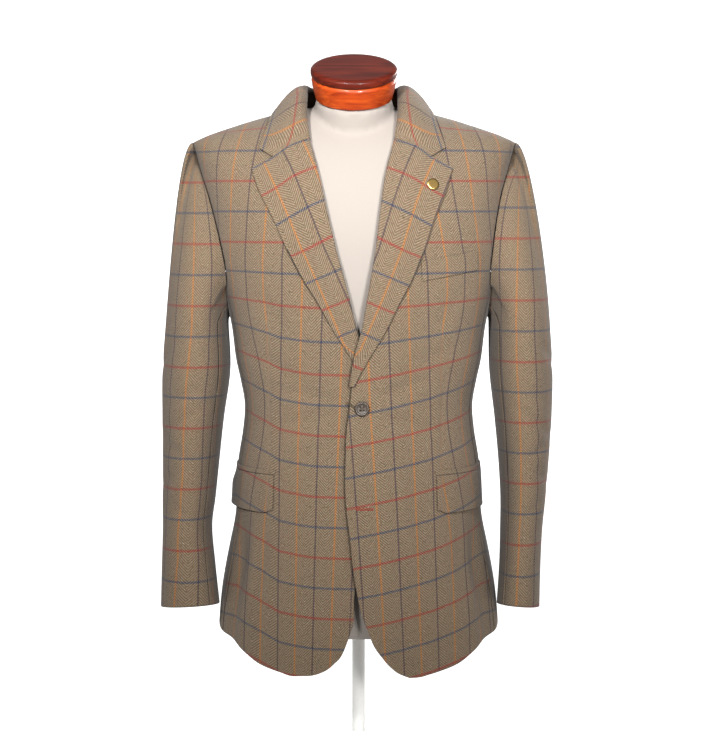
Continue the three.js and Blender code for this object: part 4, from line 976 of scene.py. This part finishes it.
def lapel(side, name):
    rows = spread(330)
    turn_radius = CLOTH / 2 + WRAP_GAP + COLLAR_CLOTH
    turns = np.radians(np.linspace(-90, 90, 11))
    shares = spread(95)[1:]
    roll_w = mix(BREAK_W, GORGE_ROLL_W, rows)[:, None]
    edge_w = mix(BREAK_W, LAPEL_TIP_W, rows)[:, None]
    from_x = roll_x(side, roll_w)
    width = np.abs(lapel_x(side, edge_w) - from_x)
    bulge = LAPEL_BULGE * smooth(width / 90)
    soft = bulge * np.sin(np.pi * np.clip(shares * 1.6, 0, 1))
    soft = soft + 1.5 * smooth(shares * 2) * smooth(width / 70)
    ones = np.ones_like(width)
    leg = np.concatenate([ones * LAPEL_LEG, ones * LAPEL_LEG / 2], axis=1)
    across = np.concatenate([leg, -turn_radius * np.cos(turns) * ones, shares * width], axis=1)
    depth = np.concatenate([0 * leg - turn_radius, turn_radius * np.sin(turns) * ones, turn_radius + soft], axis=1)
    share = np.clip(across / np.maximum(width, 1), 0, 1)
    w = mix(roll_w, edge_w, share)
    angle = angle_at(from_x + side * across, w)
    grid = lifted(angle, w, depth - CLOTH / 2 + lap_lift(side, angle, w) + crease(angle, w))
    flat_x = across + np.abs(from_x)
    turn = math.radians(LAPEL_TURN)
    u = flat_x * math.cos(turn) - w * math.sin(turn) - LAPEL_WARP_AT[side]
    v = flat_x * math.sin(turn) + w * math.cos(turn) - LAPEL_WEFT_AT[side]
    uv = np.stack([side * u, v], axis=-1)
    rests_on = ["front_left" if side > 0 else "front_right"]
    normal = grid_wall(name, grid, 0, -side * COLLAR_CLOTH, uv, rounding=0.6, rests_on=rests_on, held="folded")
    pick_stitches(name + "_picking", grid[8:, PICK_COLUMN], side * normal[8:, PICK_COLUMN])


# Collar
def on_neck(side, x, g, lift):
    is_back = g > RIDGE_W
    w = np.where(is_back, 2 * RIDGE_W - g, g)
    shift = read(CLOSING, "w", "x", np.minimum(w, RIDGE_W)) * np.where(is_back, 0, 1)
    angle = angle_at(side * np.maximum(x, 0.01) + shift, w, is_back)
    return lifted(angle, w, lift)


def collar_at(q, column):
    return read(COLLAR, "q", column, q)


def collar_stations(count, start):
    q = np.linspace(start, 1, count + 1)
    return np.concatenate([np.ones(count + 1), -np.ones(count)]), np.concatenate([q, q[-2::-1]])


def collar_lines(side, q):
    base = on_neck(side, collar_at(q, "base_x"), collar_at(q, "base_g"), -CLOTH / 2 + 0 * q)
    top = on_neck(side, collar_at(q, "roll_x"), collar_at(q, "roll_g"), collar_at(q, "roll_lift") - CLOTH / 2)
    return base, top


def running_length(line):
    steps = np.linalg.norm(np.diff(line, axis=0), axis=-1)
    return np.concatenate([[0], np.cumsum(steps)])


def collar_stand():
    side, q = collar_stations(90, STAND_START_Q)
    base, top = collar_lines(side, q)
    up = top - base
    length = np.linalg.norm(up, axis=-1, keepdims=True)
    up = up / length
    levels = np.linspace(0, 1, 9)
    grid = np.stack([base + up * mix(1.6, length, t) for t in levels], axis=1)
    run = running_length(base)
    uv = np.stack(np.broadcast_arrays(run[:, None], levels[None, :] * 28), axis=-1)
    grid_wall("collar_stand", grid, STAND_CLOTH / 2, -STAND_CLOTH / 2, uv, rounding=0.5, rests_on=["back_left", "back_right"])


COLLAR_RED_IN = 47.5
COLLAR_WARP_AT = 0.0


def collar_fall():
    side, q = collar_stations(130, 0.0)
    wrap_radius = STAND_CLOTH / 2 + WRAP_GAP + COLLAR_CLOTH
    base, top = collar_lines(side, q)
    mid = on_neck(side, collar_at(q, "mid_x"), collar_at(q, "mid_g"), collar_at(q, "mid_lift") + COLLAR_CLOTH)
    leaf = on_neck(side, collar_at(q, "leaf_x"), collar_at(q, "leaf_g"), LEAF_LIFT + COLLAR_CLOTH + 0 * q)
    up = unit(top - base)
    out = mid - top
    out = unit(out - up * dot(out, up))
    turn_to = np.radians(mix(165, 90, smooth(q * 5)))[:, None]
    rows = [top - out * wrap_radius - up * 4, top - out * wrap_radius - up * 2]
    for k in np.linspace(0, 1, 10):
        rows.append(top - out * wrap_radius * np.cos(k * turn_to) + up * wrap_radius * np.sin(k * turn_to))
    start = rows[-1]
    lead = start + out * np.linalg.norm(mid - start, axis=-1, keepdims=True) * 0.45
    flat = (1 - smooth(q / 0.17))[:, None]
    spans = 7
    bend = 4 / spans
    for share in spread(52)[1:]:
        first = share <= bend
        local = share / bend if first else (share - bend) / (1 - bend)
        pair = ("roll", "mid") if first else ("mid", "leaf")
        x = mix(collar_at(q, pair[0] + "_x"), collar_at(q, pair[1] + "_x"), local)
        g = mix(collar_at(q, pair[0] + "_g"), collar_at(q, pair[1] + "_g"), local)
        laid = on_neck(side, x, g, mix(collar_at(q, "roll_lift") + 1.6, LEAF_LIFT, share) + COLLAR_CLOTH)
        t = share
        free = (1 - t) ** 3 * start + 3 * (1 - t) ** 2 * t * lead + 3 * (1 - t) * t * t * mid + t ** 3 * leaf
        rows.append(mix(free, laid, flat))
    grid = np.stack(rows, axis=1)
    run = running_length(leaf)
    steps = np.linalg.norm(np.diff(grid, axis=1), axis=-1)
    down = np.concatenate([np.zeros((len(q), 1)), np.cumsum(steps, axis=1)], axis=1)
    from_leaf = down[:, -1:] - down
    around = np.broadcast_to(run[:, None], down.shape) - run[len(run) // 2] - COLLAR_WARP_AT
    uv = np.stack([around, COLLAR_RED_IN - from_leaf], axis=-1)
    normal = grid_wall("collar", grid, 0, -COLLAR_CLOTH, uv, rounding=0.6, rests_on=["collar_stand"], held="folded")
    pick_stitches("collar_picking", grid[4:-4, PICK_COLUMN], normal[4:-4, PICK_COLUMN])


# Sleeves
def armhole_point(side, turn):
    w = read(SLEEVE_HEAD, "turn", "w", turn)
    first, last = UNDERARM_TURNS
    under = (turn > first) & (turn < last)
    low_angle = mix(FRONT_SEAM, BACK_SEAM, np.clip((turn - first) / (last - first), 0, 1))
    top = np.minimum(w, RIDGE_W - 0.5)
    high_angle = np.where(turn > 180, armhole_angle(top, True), armhole_angle(top, False))
    angle = np.where(under, low_angle, high_angle)
    level = np.where(under, read(UNDERARM, "a", "w", low_angle), top)
    seat = coat(side * angle, level)
    downward = smooth((np.abs(turn - 180) - 20) / 90)
    seat[..., 0] += side * mix(SEAT_OUT["under"], SEAT_OUT["top"], downward)
    seat[..., 2] += mix(SEAT_UP["under"], SEAT_UP["top"], downward)
    return seat


def sleeve_section(side, turn, share):
    angle = np.radians(turn)
    cuff = CUFF_H + CUFF_FRONT_RISE * np.sin(angle) - CUFF_INNER_RISE * np.cos(angle)
    level = mix(SLEEVE_TOP_H, CUFF_H, share)
    h = mix(SLEEVE_TOP_H, cuff, share)
    name = "left" if side > 0 else "right"
    outer = read(SLEEVE, "h", "outer_" + name, level)
    inner = read(SLEEVE, "h", "inner_" + name, level)
    front_y = read(SLEEVE, "h", "front", level)
    back_y = read(SLEEVE, "h", "back", level)
    x = side * ((outer + inner) / 2 + (outer - inner) / 2 * np.cos(angle))
    y = (front_y + back_y) / 2 - (back_y - front_y) / 2 * np.sin(angle)
    return points(x, y, h + HEM_LEVEL)


def sleeve_point(side, turn, t):
    turn = np.mod(turn, 360)
    low = sleeve_section(side, turn, np.clip((t - HEAD_SHARE) / (1 - HEAD_SHARE), 0, 1))
    start = armhole_point(side, turn)
    to = sleeve_section(side, turn, 0 * turn)
    below = sleeve_section(side, turn, 0 * turn + 0.02)
    top = (1 + np.cos(np.radians(turn))) / 2
    facing = np.sin(np.radians(turn))
    outward = side * mix(LEAVE_OUT["under"], LEAVE_OUT["top"], top)
    leave = points(outward, LEAVE_FORWARD * facing, mix(LEAVE_DOWN["under"], LEAVE_DOWN["top"], top))
    leave = leave * mix(LEAVE_PULL["under"], LEAVE_PULL["top"], smooth(top * 1.5))[..., None]
    fall = start[..., 2] - to[..., 2]
    pull = np.maximum(ARRIVE["least"], fall * mix(ARRIVE["under"], ARRIVE["top"], top))
    arrive = unit(below - to) * pull[..., None]
    u = np.clip(t / HEAD_SHARE, 0, 1)[..., None]
    u2, u3 = u * u, u * u * u
    head = start * (2 * u3 - 3 * u2 + 1) + leave * (u3 - 2 * u2 + u) + to * (3 * u2 - 2 * u3) + arrive * (u3 - u2)
    return np.where((t >= HEAD_SHARE)[..., None], low, head)


def sleeve_normal(side, turn, t):
    step = 0.004
    around = sleeve_point(side, turn + 2, t) - sleeve_point(side, turn - 2, t)
    down = sleeve_point(side, turn, np.minimum(t + step, 1)) - sleeve_point(side, turn, np.maximum(t - step, 0))
    return unit(np.cross(around, down)) * side


# The orange warp's place round each sleeve by height, and the height of a red weft
SLEEVE_ORANGE = {
    -1: ((48, 120, 224, 345, 430, 520), (63, 74, 81, 80, 88, 92)),
    1: ((48, 200, 400, 520), (103, 104, 104, 102)),
}
SLEEVE_RED_H = {-1: 458.0, 1: 465.5}
SLEEVE_WEFT_STEP = 83.0
# The usual section of a sleeve: half width and half depth
SLEEVE_HALF = (44.0, 76.0)
OVAL_TURNS = np.arange(-360.0, 721.0, 2.0)
OVAL_STEPS = np.hypot(
    SLEEVE_HALF[0] * np.sin(np.radians(OVAL_TURNS)), SLEEVE_HALF[1] * np.cos(np.radians(OVAL_TURNS)),
) * math.radians(2.0)
OVAL_RUN = np.cumsum(OVAL_STEPS)
# Soft creases of the sleeve: turn, height, slope, half width, reach round the sleeve and depth
SLEEVE_CREASES = (
    (70, 300, 0.5, 8, 40, -1.8), (60, 262, -0.35, 8, 36, -1.5), (78, 336, 0.3, 9, 34, -1.3), (50, 226, 0.4, 8, 34, -1.3),
    (75, 180, -0.4, 8, 34, -1.2), (30, 388, 0.6, 10, 34, -1.2), (80, 118, 0.4, 8, 34, -1.0), (95, 420, -0.5, 10, 30, -1.2),
)


def sleeve_weave(side, turn, place):
    """Pattern coordinates of a sleeve, from the height and the angle about the sleeve's own middle."""
    height = place[..., 2] - HEM_LEVEL
    level = np.clip(height, CUFF_H, SLEEVE_TOP_H)
    name = "left" if side > 0 else "right"
    outer, inner = read(SLEEVE, "h", "outer_" + name, level), read(SLEEVE, "h", "inner_" + name, level)
    front_y, back_y = read(SLEEVE, "h", "front", level), read(SLEEVE, "h", "back", level)
    half, deep = (outer - inner) / 2, (back_y - front_y) / 2
    x = (side * place[..., 0] - (outer + inner) / 2) / half
    y = -(place[..., 1] - (front_y + back_y) / 2) / deep
    seen = np.degrees(np.arctan2(y, x))
    seen = seen + 360 * np.round((turn - seen) / 360)
    orange = np.interp(height, *SLEEVE_ORANGE[side])
    run = np.interp(seen, OVAL_TURNS, OVAL_RUN) - np.interp(orange, OVAL_TURNS, OVAL_RUN)
    size = np.hypot(half, deep) / math.hypot(*SLEEVE_HALF)
    v = (height - SLEEVE_RED_H[side]) * WEFT_REPEAT / SLEEVE_WEFT_STEP
    return np.stack([side * run * size, v], axis=-1)


def sleeve_crease(turn, place):
    height = place[..., 2] - HEM_LEVEL
    total = np.zeros_like(height)
    for at, level, slope, half, reach, depth in SLEEVE_CREASES:
        off = turn - at
        near = np.exp(-((off / reach) ** 2))
        total = total + CREASE_GAIN * depth * near * np.exp(-(((height - level - slope * off) / half) ** 2))
    return total * smooth((SLEEVE_TOP_H + 40 - height) / 60) * smooth((150 - np.abs(turn - 60)) / 60)


def sleeve_piece(side, name, is_upper):
    s, t = grids(spread(300 if is_upper else 150), spread(690))
    elbow = mix(ELBOW_SEAM_TOP, ELBOW_SEAM_CUFF, smooth(t))
    if is_upper:
        turn = mix(elbow - 360 + SLEEVE_GAP_TURN, INNER_SEAM_TURN - SLEEVE_GAP_TURN, s)
    else:
        turn = mix(INNER_SEAM_TURN + SLEEVE_GAP_TURN, elbow - SLEEVE_GAP_TURN, s)
    outer = sleeve_point(side, turn, t)
    normal = sleeve_normal(side, turn, t)
    uv = sleeve_weave(side, turn, outer)
    if is_upper:
        outer = outer + normal * sleeve_crease(turn, outer)[..., None]
    inner = outer - normal * CLOTH
    cloth_piece(name, outer, inner, uv, rests_on=["front_left" if side > 0 else "front_right"])


# Pockets
def flap(side, name, edging):
    start = np.abs(angle_at(FLAP_FRONT_X[side], FLAP_TOP))
    s, t = grids(spread(95, 2.0), spread(51, 2.0))
    edge = smooth(np.minimum(s * 12, 1))
    w = mix(FLAP_BOTTOM + FLAP_CORNER * (1 - edge), FLAP_TOP, t)
    angle = side * mix(start, FLAP_BACK_ANGLE, s)
    away = FLAP_KICK * (1 - t) + FLAP_FLARE[side] * smooth((s - 0.5) * 2) * smooth((1 - t) * 2)
    rise = POCKET_CLOTH + LAY_GAP + away + lap_lift(side, angle, w)
    panel_piece(
        name, angle, w, rise, POCKET_CLOTH, front_weave(side, angle, w), rounding=0.6,
        rests_on=["front_left" if side > 0 else "front_right"], trim=[edging],
    )


def jet(side, name):
    start = np.abs(angle_at(FLAP_FRONT_X[side] - 2, JET_TOP))
    s, t = grids(spread(97, 2.0), np.linspace(0, 1, 7))
    w = mix(JET_BOTTOM, JET_TOP, t)
    angle = side * mix(start, FLAP_BACK_ANGLE, s)
    rise = JET_CLOTH + JET_LIFT + lap_lift(side, angle, w)
    return panel_piece(name, angle, w, rise, JET_CLOTH, front_weave(side, angle, w), rounding=0.5)


def breast_welt():
    s, t = grids(spread(80, 2.0), spread(26, 2.0))
    x = mix(WELT_INNER_X, WELT_OUTER_X, s)
    top = WELT_TOP_INNER + (x - WELT_INNER_X) * WELT_SLOPE
    w = mix(top - WELT_DEPTH, top, t)
    angle = angle_at(x, w)
    rise = np.full_like(w, POCKET_CLOTH + LAY_GAP + 0.3)
    panel_piece("breast_welt", angle, w, rise, POCKET_CLOTH, front_weave(1, angle, w), rounding=0.6, rests_on=["front_left"])


# Turned pieces
def turned_mesh(profile, segments):
    """Vertices and faces of a closed turned piece, from a profile of radius and height that starts and ends at 0."""
    turns = np.linspace(0, 2 * np.pi, segments, endpoint=False)
    body = profile[1:-1]
    vertices = [[0, 0, profile[0][1]]]
    for r, z in body:
        vertices.extend([[r * math.cos(a), r * math.sin(a), z] for a in turns])
    vertices.append([0, 0, profile[-1][1]])
    faces = []
    for k in range(segments):
        faces.append([0, 1 + (k + 1) % segments, 1 + k])
    for i in range(len(body) - 1):
        start = 1 + i * segments
        for k in range(segments):
            nxt = (k + 1) % segments
            faces.append([start + k, start + nxt, start + segments + nxt, start + segments + k])
    last = 1 + (len(body) - 1) * segments
    for k in range(segments):
        faces.append([len(vertices) - 1, last + k, last + (k + 1) % segments])
    return np.array(vertices), faces


def rounded(profile, steps=6):
    """Rounds the corners of a profile with short curves."""
    corners = [np.array(p, float) for p in profile]
    done = [corners[0]]
    for before, here, after in zip(corners[:-2], corners[1:-1], corners[2:]):
        reach = min(np.linalg.norm(before - here), np.linalg.norm(after - here)) * 0.35
        reach = min(reach, 2.0)
        first = here + (before - here) / np.linalg.norm(before - here) * reach
        last = here + (after - here) / np.linalg.norm(after - here) * reach
        for t in np.linspace(0, 1, steps):
            done.append((1 - t) ** 2 * first + 2 * t * (1 - t) * here + t * t * last)
    done.append(corners[-1])
    return [tuple(p) for p in done]


def placed(vertices, point, direction):
    """Turns a piece's own +Z to a direction and moves it to a point."""
    turn = np.array(Vector((0, 0, 1)).rotation_difference(Vector(direction)).to_matrix())
    return vertices @ turn.T + point


def on_neck_axis(vertices):
    tilt = math.radians(NECK["tilt"])
    c, s = math.cos(tilt), math.sin(tilt)
    turn = np.array([[1, 0, 0], [0, c, -s], [0, s, c]])
    return vertices @ turn.T + np.array([NECK["x"], NECK["cap_y"], NECK["cap_h"] + HEM_LEVEL])


def neck_and_stand():
    band_top = -(CAP["top_thick"] + CAP["gap"])
    band_foot = band_top - CAP["band"]
    radius = CAP["radius"]
    band = [
        (0, band_foot), (CAP["band_foot"], band_foot), (radius - 2.5, band_top - CAP["band"] * 0.45),
        (radius - 1, band_top - 4), (radius - 3, band_top), (0, band_top),
    ]
    top = [
        (0, -CAP["top_thick"]), (radius - 2, -CAP["top_thick"]), (radius, -CAP["top_thick"] + 3),
        (radius, -3), (radius - 3, -0.5), (radius - 7, 0), (0, 0),
    ]
    for name, profile, wood in (("neck_cap_band", band, CHERRY), ("neck_cap_top", top, CHERRY_DARK)):
        vertices, faces = turned_mesh(rounded(profile), 96)
        add_piece(name + "_turned", on_neck_axis(vertices), faces, wood, [name])
    foot = FORM_BOTTOM_H + HEM_LEVEL
    pole = [(0, BASE_THICK + CAP["gap"]), (POLE_RADIUS, BASE_THICK + CAP["gap"]), (POLE_RADIUS, foot - CAP["gap"]), (0, foot - CAP["gap"])]
    vertices, faces = turned_mesh(rounded(pole), 48)
    add_piece("stand_pole_tube", vertices, faces, LACQUER, ["stand_pole"])
    disc = [
        (0, 0), (BASE_RADIUS, 0), (BASE_RADIUS, BASE_THICK - BASE_EDGE), (BASE_RADIUS - BASE_EDGE, BASE_THICK - 1),
        (BASE_RADIUS - 14, BASE_THICK), (0, BASE_THICK),
    ]
    vertices, faces = turned_mesh(rounded(disc), 128)
    add_piece("stand_base_disc", vertices, faces, LACQUER, ["stand_base"])


def dress_form():
    """The padded form: torso and neck as one smooth skin."""
    columns = 96
    levels = np.concatenate([[10.0], np.linspace(12, 784, 130)])
    turns = -180 + 360 * (np.arange(columns) + 0.5) / columns
    a, w = np.meshgrid(turns, levels)
    torso = surface(FORM, FORM_SEAT, a, w)
    vertices = torso.reshape(-1, 3)
    bottom = torso[0].mean(axis=0)
    crown = torso[-1].mean(axis=0)
    vertices = np.concatenate([vertices, [bottom, crown]])
    faces = []
    for i in range(len(levels) - 1):
        for j in range(columns):
            nxt = (j + 1) % columns
            faces.append([i * columns + j, i * columns + nxt, (i + 1) * columns + nxt, (i + 1) * columns + j])
    last = (len(levels) - 1) * columns
    count = len(levels) * columns
    for j in range(columns):
        nxt = (j + 1) % columns
        faces.append([count, nxt, j])
        faces.append([count + 1, last + j, last + nxt])
    neck_top = -(CAP["top_thick"] + CAP["band"] + 2 * CAP["gap"])
    reach = NECK["reach"]
    profile = [
        (0, -reach), (NECK["base"] + 2, -reach), (NECK["base"], -reach + 30), (NECK["top"] + 1, neck_top - 18),
        (NECK["top"], neck_top), (0, neck_top),
    ]
    neck_vertices, neck_faces = turned_mesh(rounded(profile), 64)
    offset = len(vertices)
    faces.extend([[k + offset for k in face] for face in neck_faces])
    vertices = np.concatenate([vertices, on_neck_axis(neck_vertices)])
    piece = add_piece("form_torso_jersey", vertices, faces, JERSEY, ["form_torso"])
    remesh = piece.modifiers.new("one_skin", "REMESH")
    remesh.mode = "VOXEL"
    remesh.voxel_size = 0.005
    remesh.use_smooth_shade = True
    soften = piece.modifiers.new("soften", "SMOOTH")
    soften.iterations = 4
    apply_modifiers(piece)
    return piece


def apply_modifiers(piece):
    graph = bpy.context.evaluated_depsgraph_get()
    mesh = bpy.data.meshes.new_from_object(piece.evaluated_get(graph))
    piece.modifiers.clear()
    old = piece.data
    piece.data = mesh
    bpy.data.meshes.remove(old)
    mesh.polygons.foreach_set("use_smooth", [True] * len(mesh.polygons))


# Buttons: dished discs with a rim, four holes and crossed thread
def button_mesh(radius, thick):
    rings = np.array([0.0, 0.12, 0.2, 0.26, 0.32, 0.38, 0.46, 0.56, 0.66, 0.74, 0.82, 0.9, 0.96, 1.0])
    count = 96
    turns = np.linspace(0, 2 * np.pi, count, endpoint=False)
    r, a = np.meshgrid(rings * radius, turns, indexing="ij")
    x, y = r * np.cos(a), r * np.sin(a)
    share = r / radius
    z = thick * (0.62 + 0.38 * smooth((share - 0.6) / 0.16) - 0.45 * smooth((share - 0.88) / 0.12))
    hole_at = radius * 0.2
    for hx in (-1, 1):
        for hy in (-1, 1):
            off = np.hypot(x - hx * hole_at, y - hy * hole_at)
            z = z - thick * 0.5 * smooth((radius * 0.13 - off) / (radius * 0.05))
    top = np.stack([x, y, z], axis=-1)
    vertices = [top.reshape(-1, 3)]
    faces = []
    for i in range(len(rings) - 1):
        for k in range(count):
            nxt = (k + 1) % count
            faces.append([i * count + k, i * count + nxt, (i + 1) * count + nxt, (i + 1) * count + k])
    low = len(rings) * count
    side_profile = [(radius, thick * 0.3), (radius - 0.8, 0.0)]
    for rr, zz in side_profile:
        vertices.append(np.stack([rr * np.cos(turns), rr * np.sin(turns), np.full(count, zz)], axis=-1))
    for i in (len(rings) - 1, len(rings)):
        for k in range(count):
            nxt = (k + 1) % count
            faces.append([i * count + k, i * count + nxt, (i + 1) * count + nxt, (i + 1) * count + k])
    vertices.append(np.array([[0, 0, 0.0]]))
    bottom = low + 2 * count
    for k in range(count):
        faces.append([bottom, low + count + (k + 1) % count, low + count + k])
    return np.concatenate(vertices), faces


def weld(piece, distance=0.00002):
    made = bmesh.new()
    made.from_mesh(piece.data)
    bmesh.ops.remove_doubles(made, verts=made.verts, dist=distance)
    bmesh.ops.recalc_face_normals(made, faces=made.faces)
    made.to_mesh(piece.data)
    made.free()


def button(name, point, direction, radius, thick):
    vertices, faces = button_mesh(radius, thick)
    piece = add_piece(name + "_horn", placed(vertices, point, direction), faces, HORN, [name])
    weld(piece)
    stitches = []
    hole_at = radius * 0.2
    for a, b in (((-1, -1), (1, 1)), ((-1, 1), (1, -1))):
        path = []
        for t in np.linspace(0, 1, 7):
            lift = thick * (0.30 + 0.42 * math.sin(math.pi * t))
            path.append([mix(a[0], b[0], t) * hole_at, mix(a[1], b[1], t) * hole_at, lift])
        stitches.append(np.array(path))
    made = tubes(stitches, radius * 0.05)
    add_piece(name + "_thread", placed(made[0], point, direction), made[1], THREAD_DARK)


def tubes(paths, radius, sides=6):
    """Vertices and faces of round threads along paths, closed at both ends."""
    all_vertices, faces = [], []
    offset = 0
    for path in paths:
        tangent = unit(np.gradient(path, axis=0))
        helper = np.where(np.abs(tangent[:, 2:3]) > 0.9, [[1.0, 0, 0]], [[0, 0, 1.0]])
        first = unit(np.cross(tangent, helper))
        second = np.cross(tangent, first)
        turns = np.linspace(0, 2 * np.pi, sides, endpoint=False)
        taper = np.ones(len(path))
        taper[0] = taper[-1] = 0.4
        ring = path[:, None, :] + radius * taper[:, None, None] * (
            first[:, None, :] * np.cos(turns)[None, :, None] + second[:, None, :] * np.sin(turns)[None, :, None]
        )
        all_vertices.append(ring.reshape(-1, 3))
        for i in range(len(path) - 1):
            for k in range(sides):
                nxt = (k + 1) % sides
                faces.append([offset + i * sides + k, offset + i * sides + nxt, offset + (i + 1) * sides + nxt, offset + (i + 1) * sides + k])
        faces.append([offset + k for k in range(sides - 1, -1, -1)])
        faces.append([offset + (len(path) - 1) * sides + k for k in range(sides)])
        offset += len(path) * sides
    return np.concatenate(all_vertices), faces


def body_button(spec, side, name):
    angle = angle_at(np.array(spec["x"]), np.array(spec["w"]))
    lift = lap_lift(side, angle, np.array(spec["w"])) + spec["seat"]
    point = lifted(angle, np.array(spec["w"]), lift)
    button(name, point, coat_normal(angle, np.array(spec["w"])), spec["radius"], spec["thick"])


def sleeve_buttons(side, name):
    spec = SLEEVE_BUTTON
    for k in range(spec["count"]):
        h = spec["lowest"] + k * spec["pitch"]
        share = np.array((SLEEVE_TOP_H - h) / (SLEEVE_TOP_H - CUFF_H))
        turn = np.array(spec["turn"])
        across = sleeve_section(side, turn + 3, share) - sleeve_section(side, turn - 3, share)
        down = sleeve_section(side, turn, share + 0.01) - sleeve_section(side, turn, share - 0.01)
        normal = unit(np.cross(across, down)) * side
        point = sleeve_section(side, turn, share) + normal * BUTTON_SEAT
        button(f"{name}_button_{k + 1}", point, normal, spec["radius"], spec["thick"])


def lapel_pin():
    angle = angle_at(np.array(PIN_X), np.array(PIN_W))
    normal = coat_normal(angle, np.array(PIN_W))
    lift = LAY_GAP + COLLAR_CLOTH + 1.5 + 1.0
    profile = [(0, 0), (PIN_RADIUS, 0), (PIN_RADIUS, PIN_THICK * 0.6), (PIN_RADIUS * 0.8, PIN_THICK), (0, PIN_THICK)]
    vertices, faces = turned_mesh(rounded(profile), 48)
    point = lifted(angle, np.array(PIN_W), np.array(lift))
    add_piece("lapel_pin_brass", placed(vertices, point, normal), faces, BRASS, ["lapel_pin"])


# Building the piece list
SIDES = ((1, "left"), (-1, "right"))
for side, name in SIDES:
    front(side, f"front_{name}")
    side_panel(side, f"side_{name}")
    back(side, f"back_{name}")
    lapel(side, f"lapel_{name}")
    sleeve_piece(side, f"sleeve_{name}_upper", True)
    sleeve_piece(side, f"sleeve_{name}_under", False)
    flap(side, f"flap_{name}", jet(side, f"jet_{name}"))
    sleeve_buttons(side, f"sleeve_{name}")
collar_stand()
collar_fall()
breast_welt()
buttonhole("upper_buttonhole", 1, (-13.5, 333), (-4.5, 326), THREAD_DARK)
buttonhole("lower_buttonhole", 1, (-3.0, 191.4), (19.0, 191.4), THREAD_RED)
edge_picking(1)
edge_picking(-1)
body_button(FRONT_BUTTON, 1, "button_front")
body_button(LOWER_BUTTON, -1, "button_lower")
lapel_pin()
dress_form()
neck_and_stand()


# Studio: a white sweep, soft lights and the camera
def studio():
    scene = bpy.context.scene
    scene.view_settings.view_transform = "Standard"
    scene.view_settings.look = "None"
    world = bpy.data.worlds.new("studio_white")
    scene.world = world
    world.use_nodes = True
    background = world.node_tree.nodes["Background"]
    background.inputs["Color"].default_value = (1, 1, 1, 1)
    background.inputs["Strength"].default_value = 0.2

    rise, bend_radius, back = 3.6, 0.8, 3.0
    profile = [(-0.2, 0.0), (1.0, 0.0), (back, 0.0)]
    for k in range(1, 13):
        turn = math.radians(90 * k / 12)
        profile.append((back + bend_radius * math.sin(turn), bend_radius * (1 - math.cos(turn))))
    profile.append((back + bend_radius, rise))
    vertices = [(x * (0.6 + 0.2 * max(y, 0)), y, z) for y, z in profile for x in (-1, 1)]
    faces = [(2 * i, 2 * i + 1, 2 * i + 3, 2 * i + 2) for i in range(len(profile) - 1)]
    mesh = bpy.data.meshes.new("studio_sweep")
    mesh.from_pydata(vertices, [], faces)
    mesh.polygons.foreach_set("use_smooth", [True] * len(faces))
    sweep = bpy.data.objects.new("studio_sweep", mesh)
    scene.collection.objects.link(sweep)
    material, tree, shader = new_material("studio_paper")
    shader.inputs["Base Color"].default_value = (0.93, 0.93, 0.93, 1)
    shader.inputs["Roughness"].default_value = 0.9
    shader.inputs["Emission Color"].default_value = (1, 1, 1, 1)
    shader.inputs["Emission Strength"].default_value = 0.95
    mesh.materials.append(material)

    lamps = (
        ("key_softbox", (-0.75, -2.2, 1.7), 0.3, 5.9),
        ("fill_softbox", (0.75, -2.6, 1.25), 0.5, 7.3),
        ("back_softbox", (1.7, 2.2, 1.5), 0.6, 3.0),
    )
    for name, place, size, watts in lamps:
        data = bpy.data.lights.new(name, "AREA")
        data.size = size
        data.energy = watts
        data.spread = math.radians(45)
        lamp = bpy.data.objects.new(name, data)
        scene.collection.objects.link(lamp)
        lamp.location = place
        aim = Vector((0, 0, 0.85)) - Vector(place)
        lamp.rotation_euler = aim.to_track_quat("-Z", "Y").to_euler()

    data = bpy.data.cameras.new("camera")
    data.lens = 100.0
    data.sensor_width = 36.0
    camera = bpy.data.objects.new("camera", data)
    scene.collection.objects.link(camera)
    eye = Vector((0.002, -2.8, 0.795))
    target = Vector((0.002, 0.0, 0.795 - 0.228))
    camera.location = eye
    camera.rotation_euler = (target - eye).to_track_quat("-Z", "Y").to_euler()
    data.clip_end = 50
    scene.camera = camera


studio()
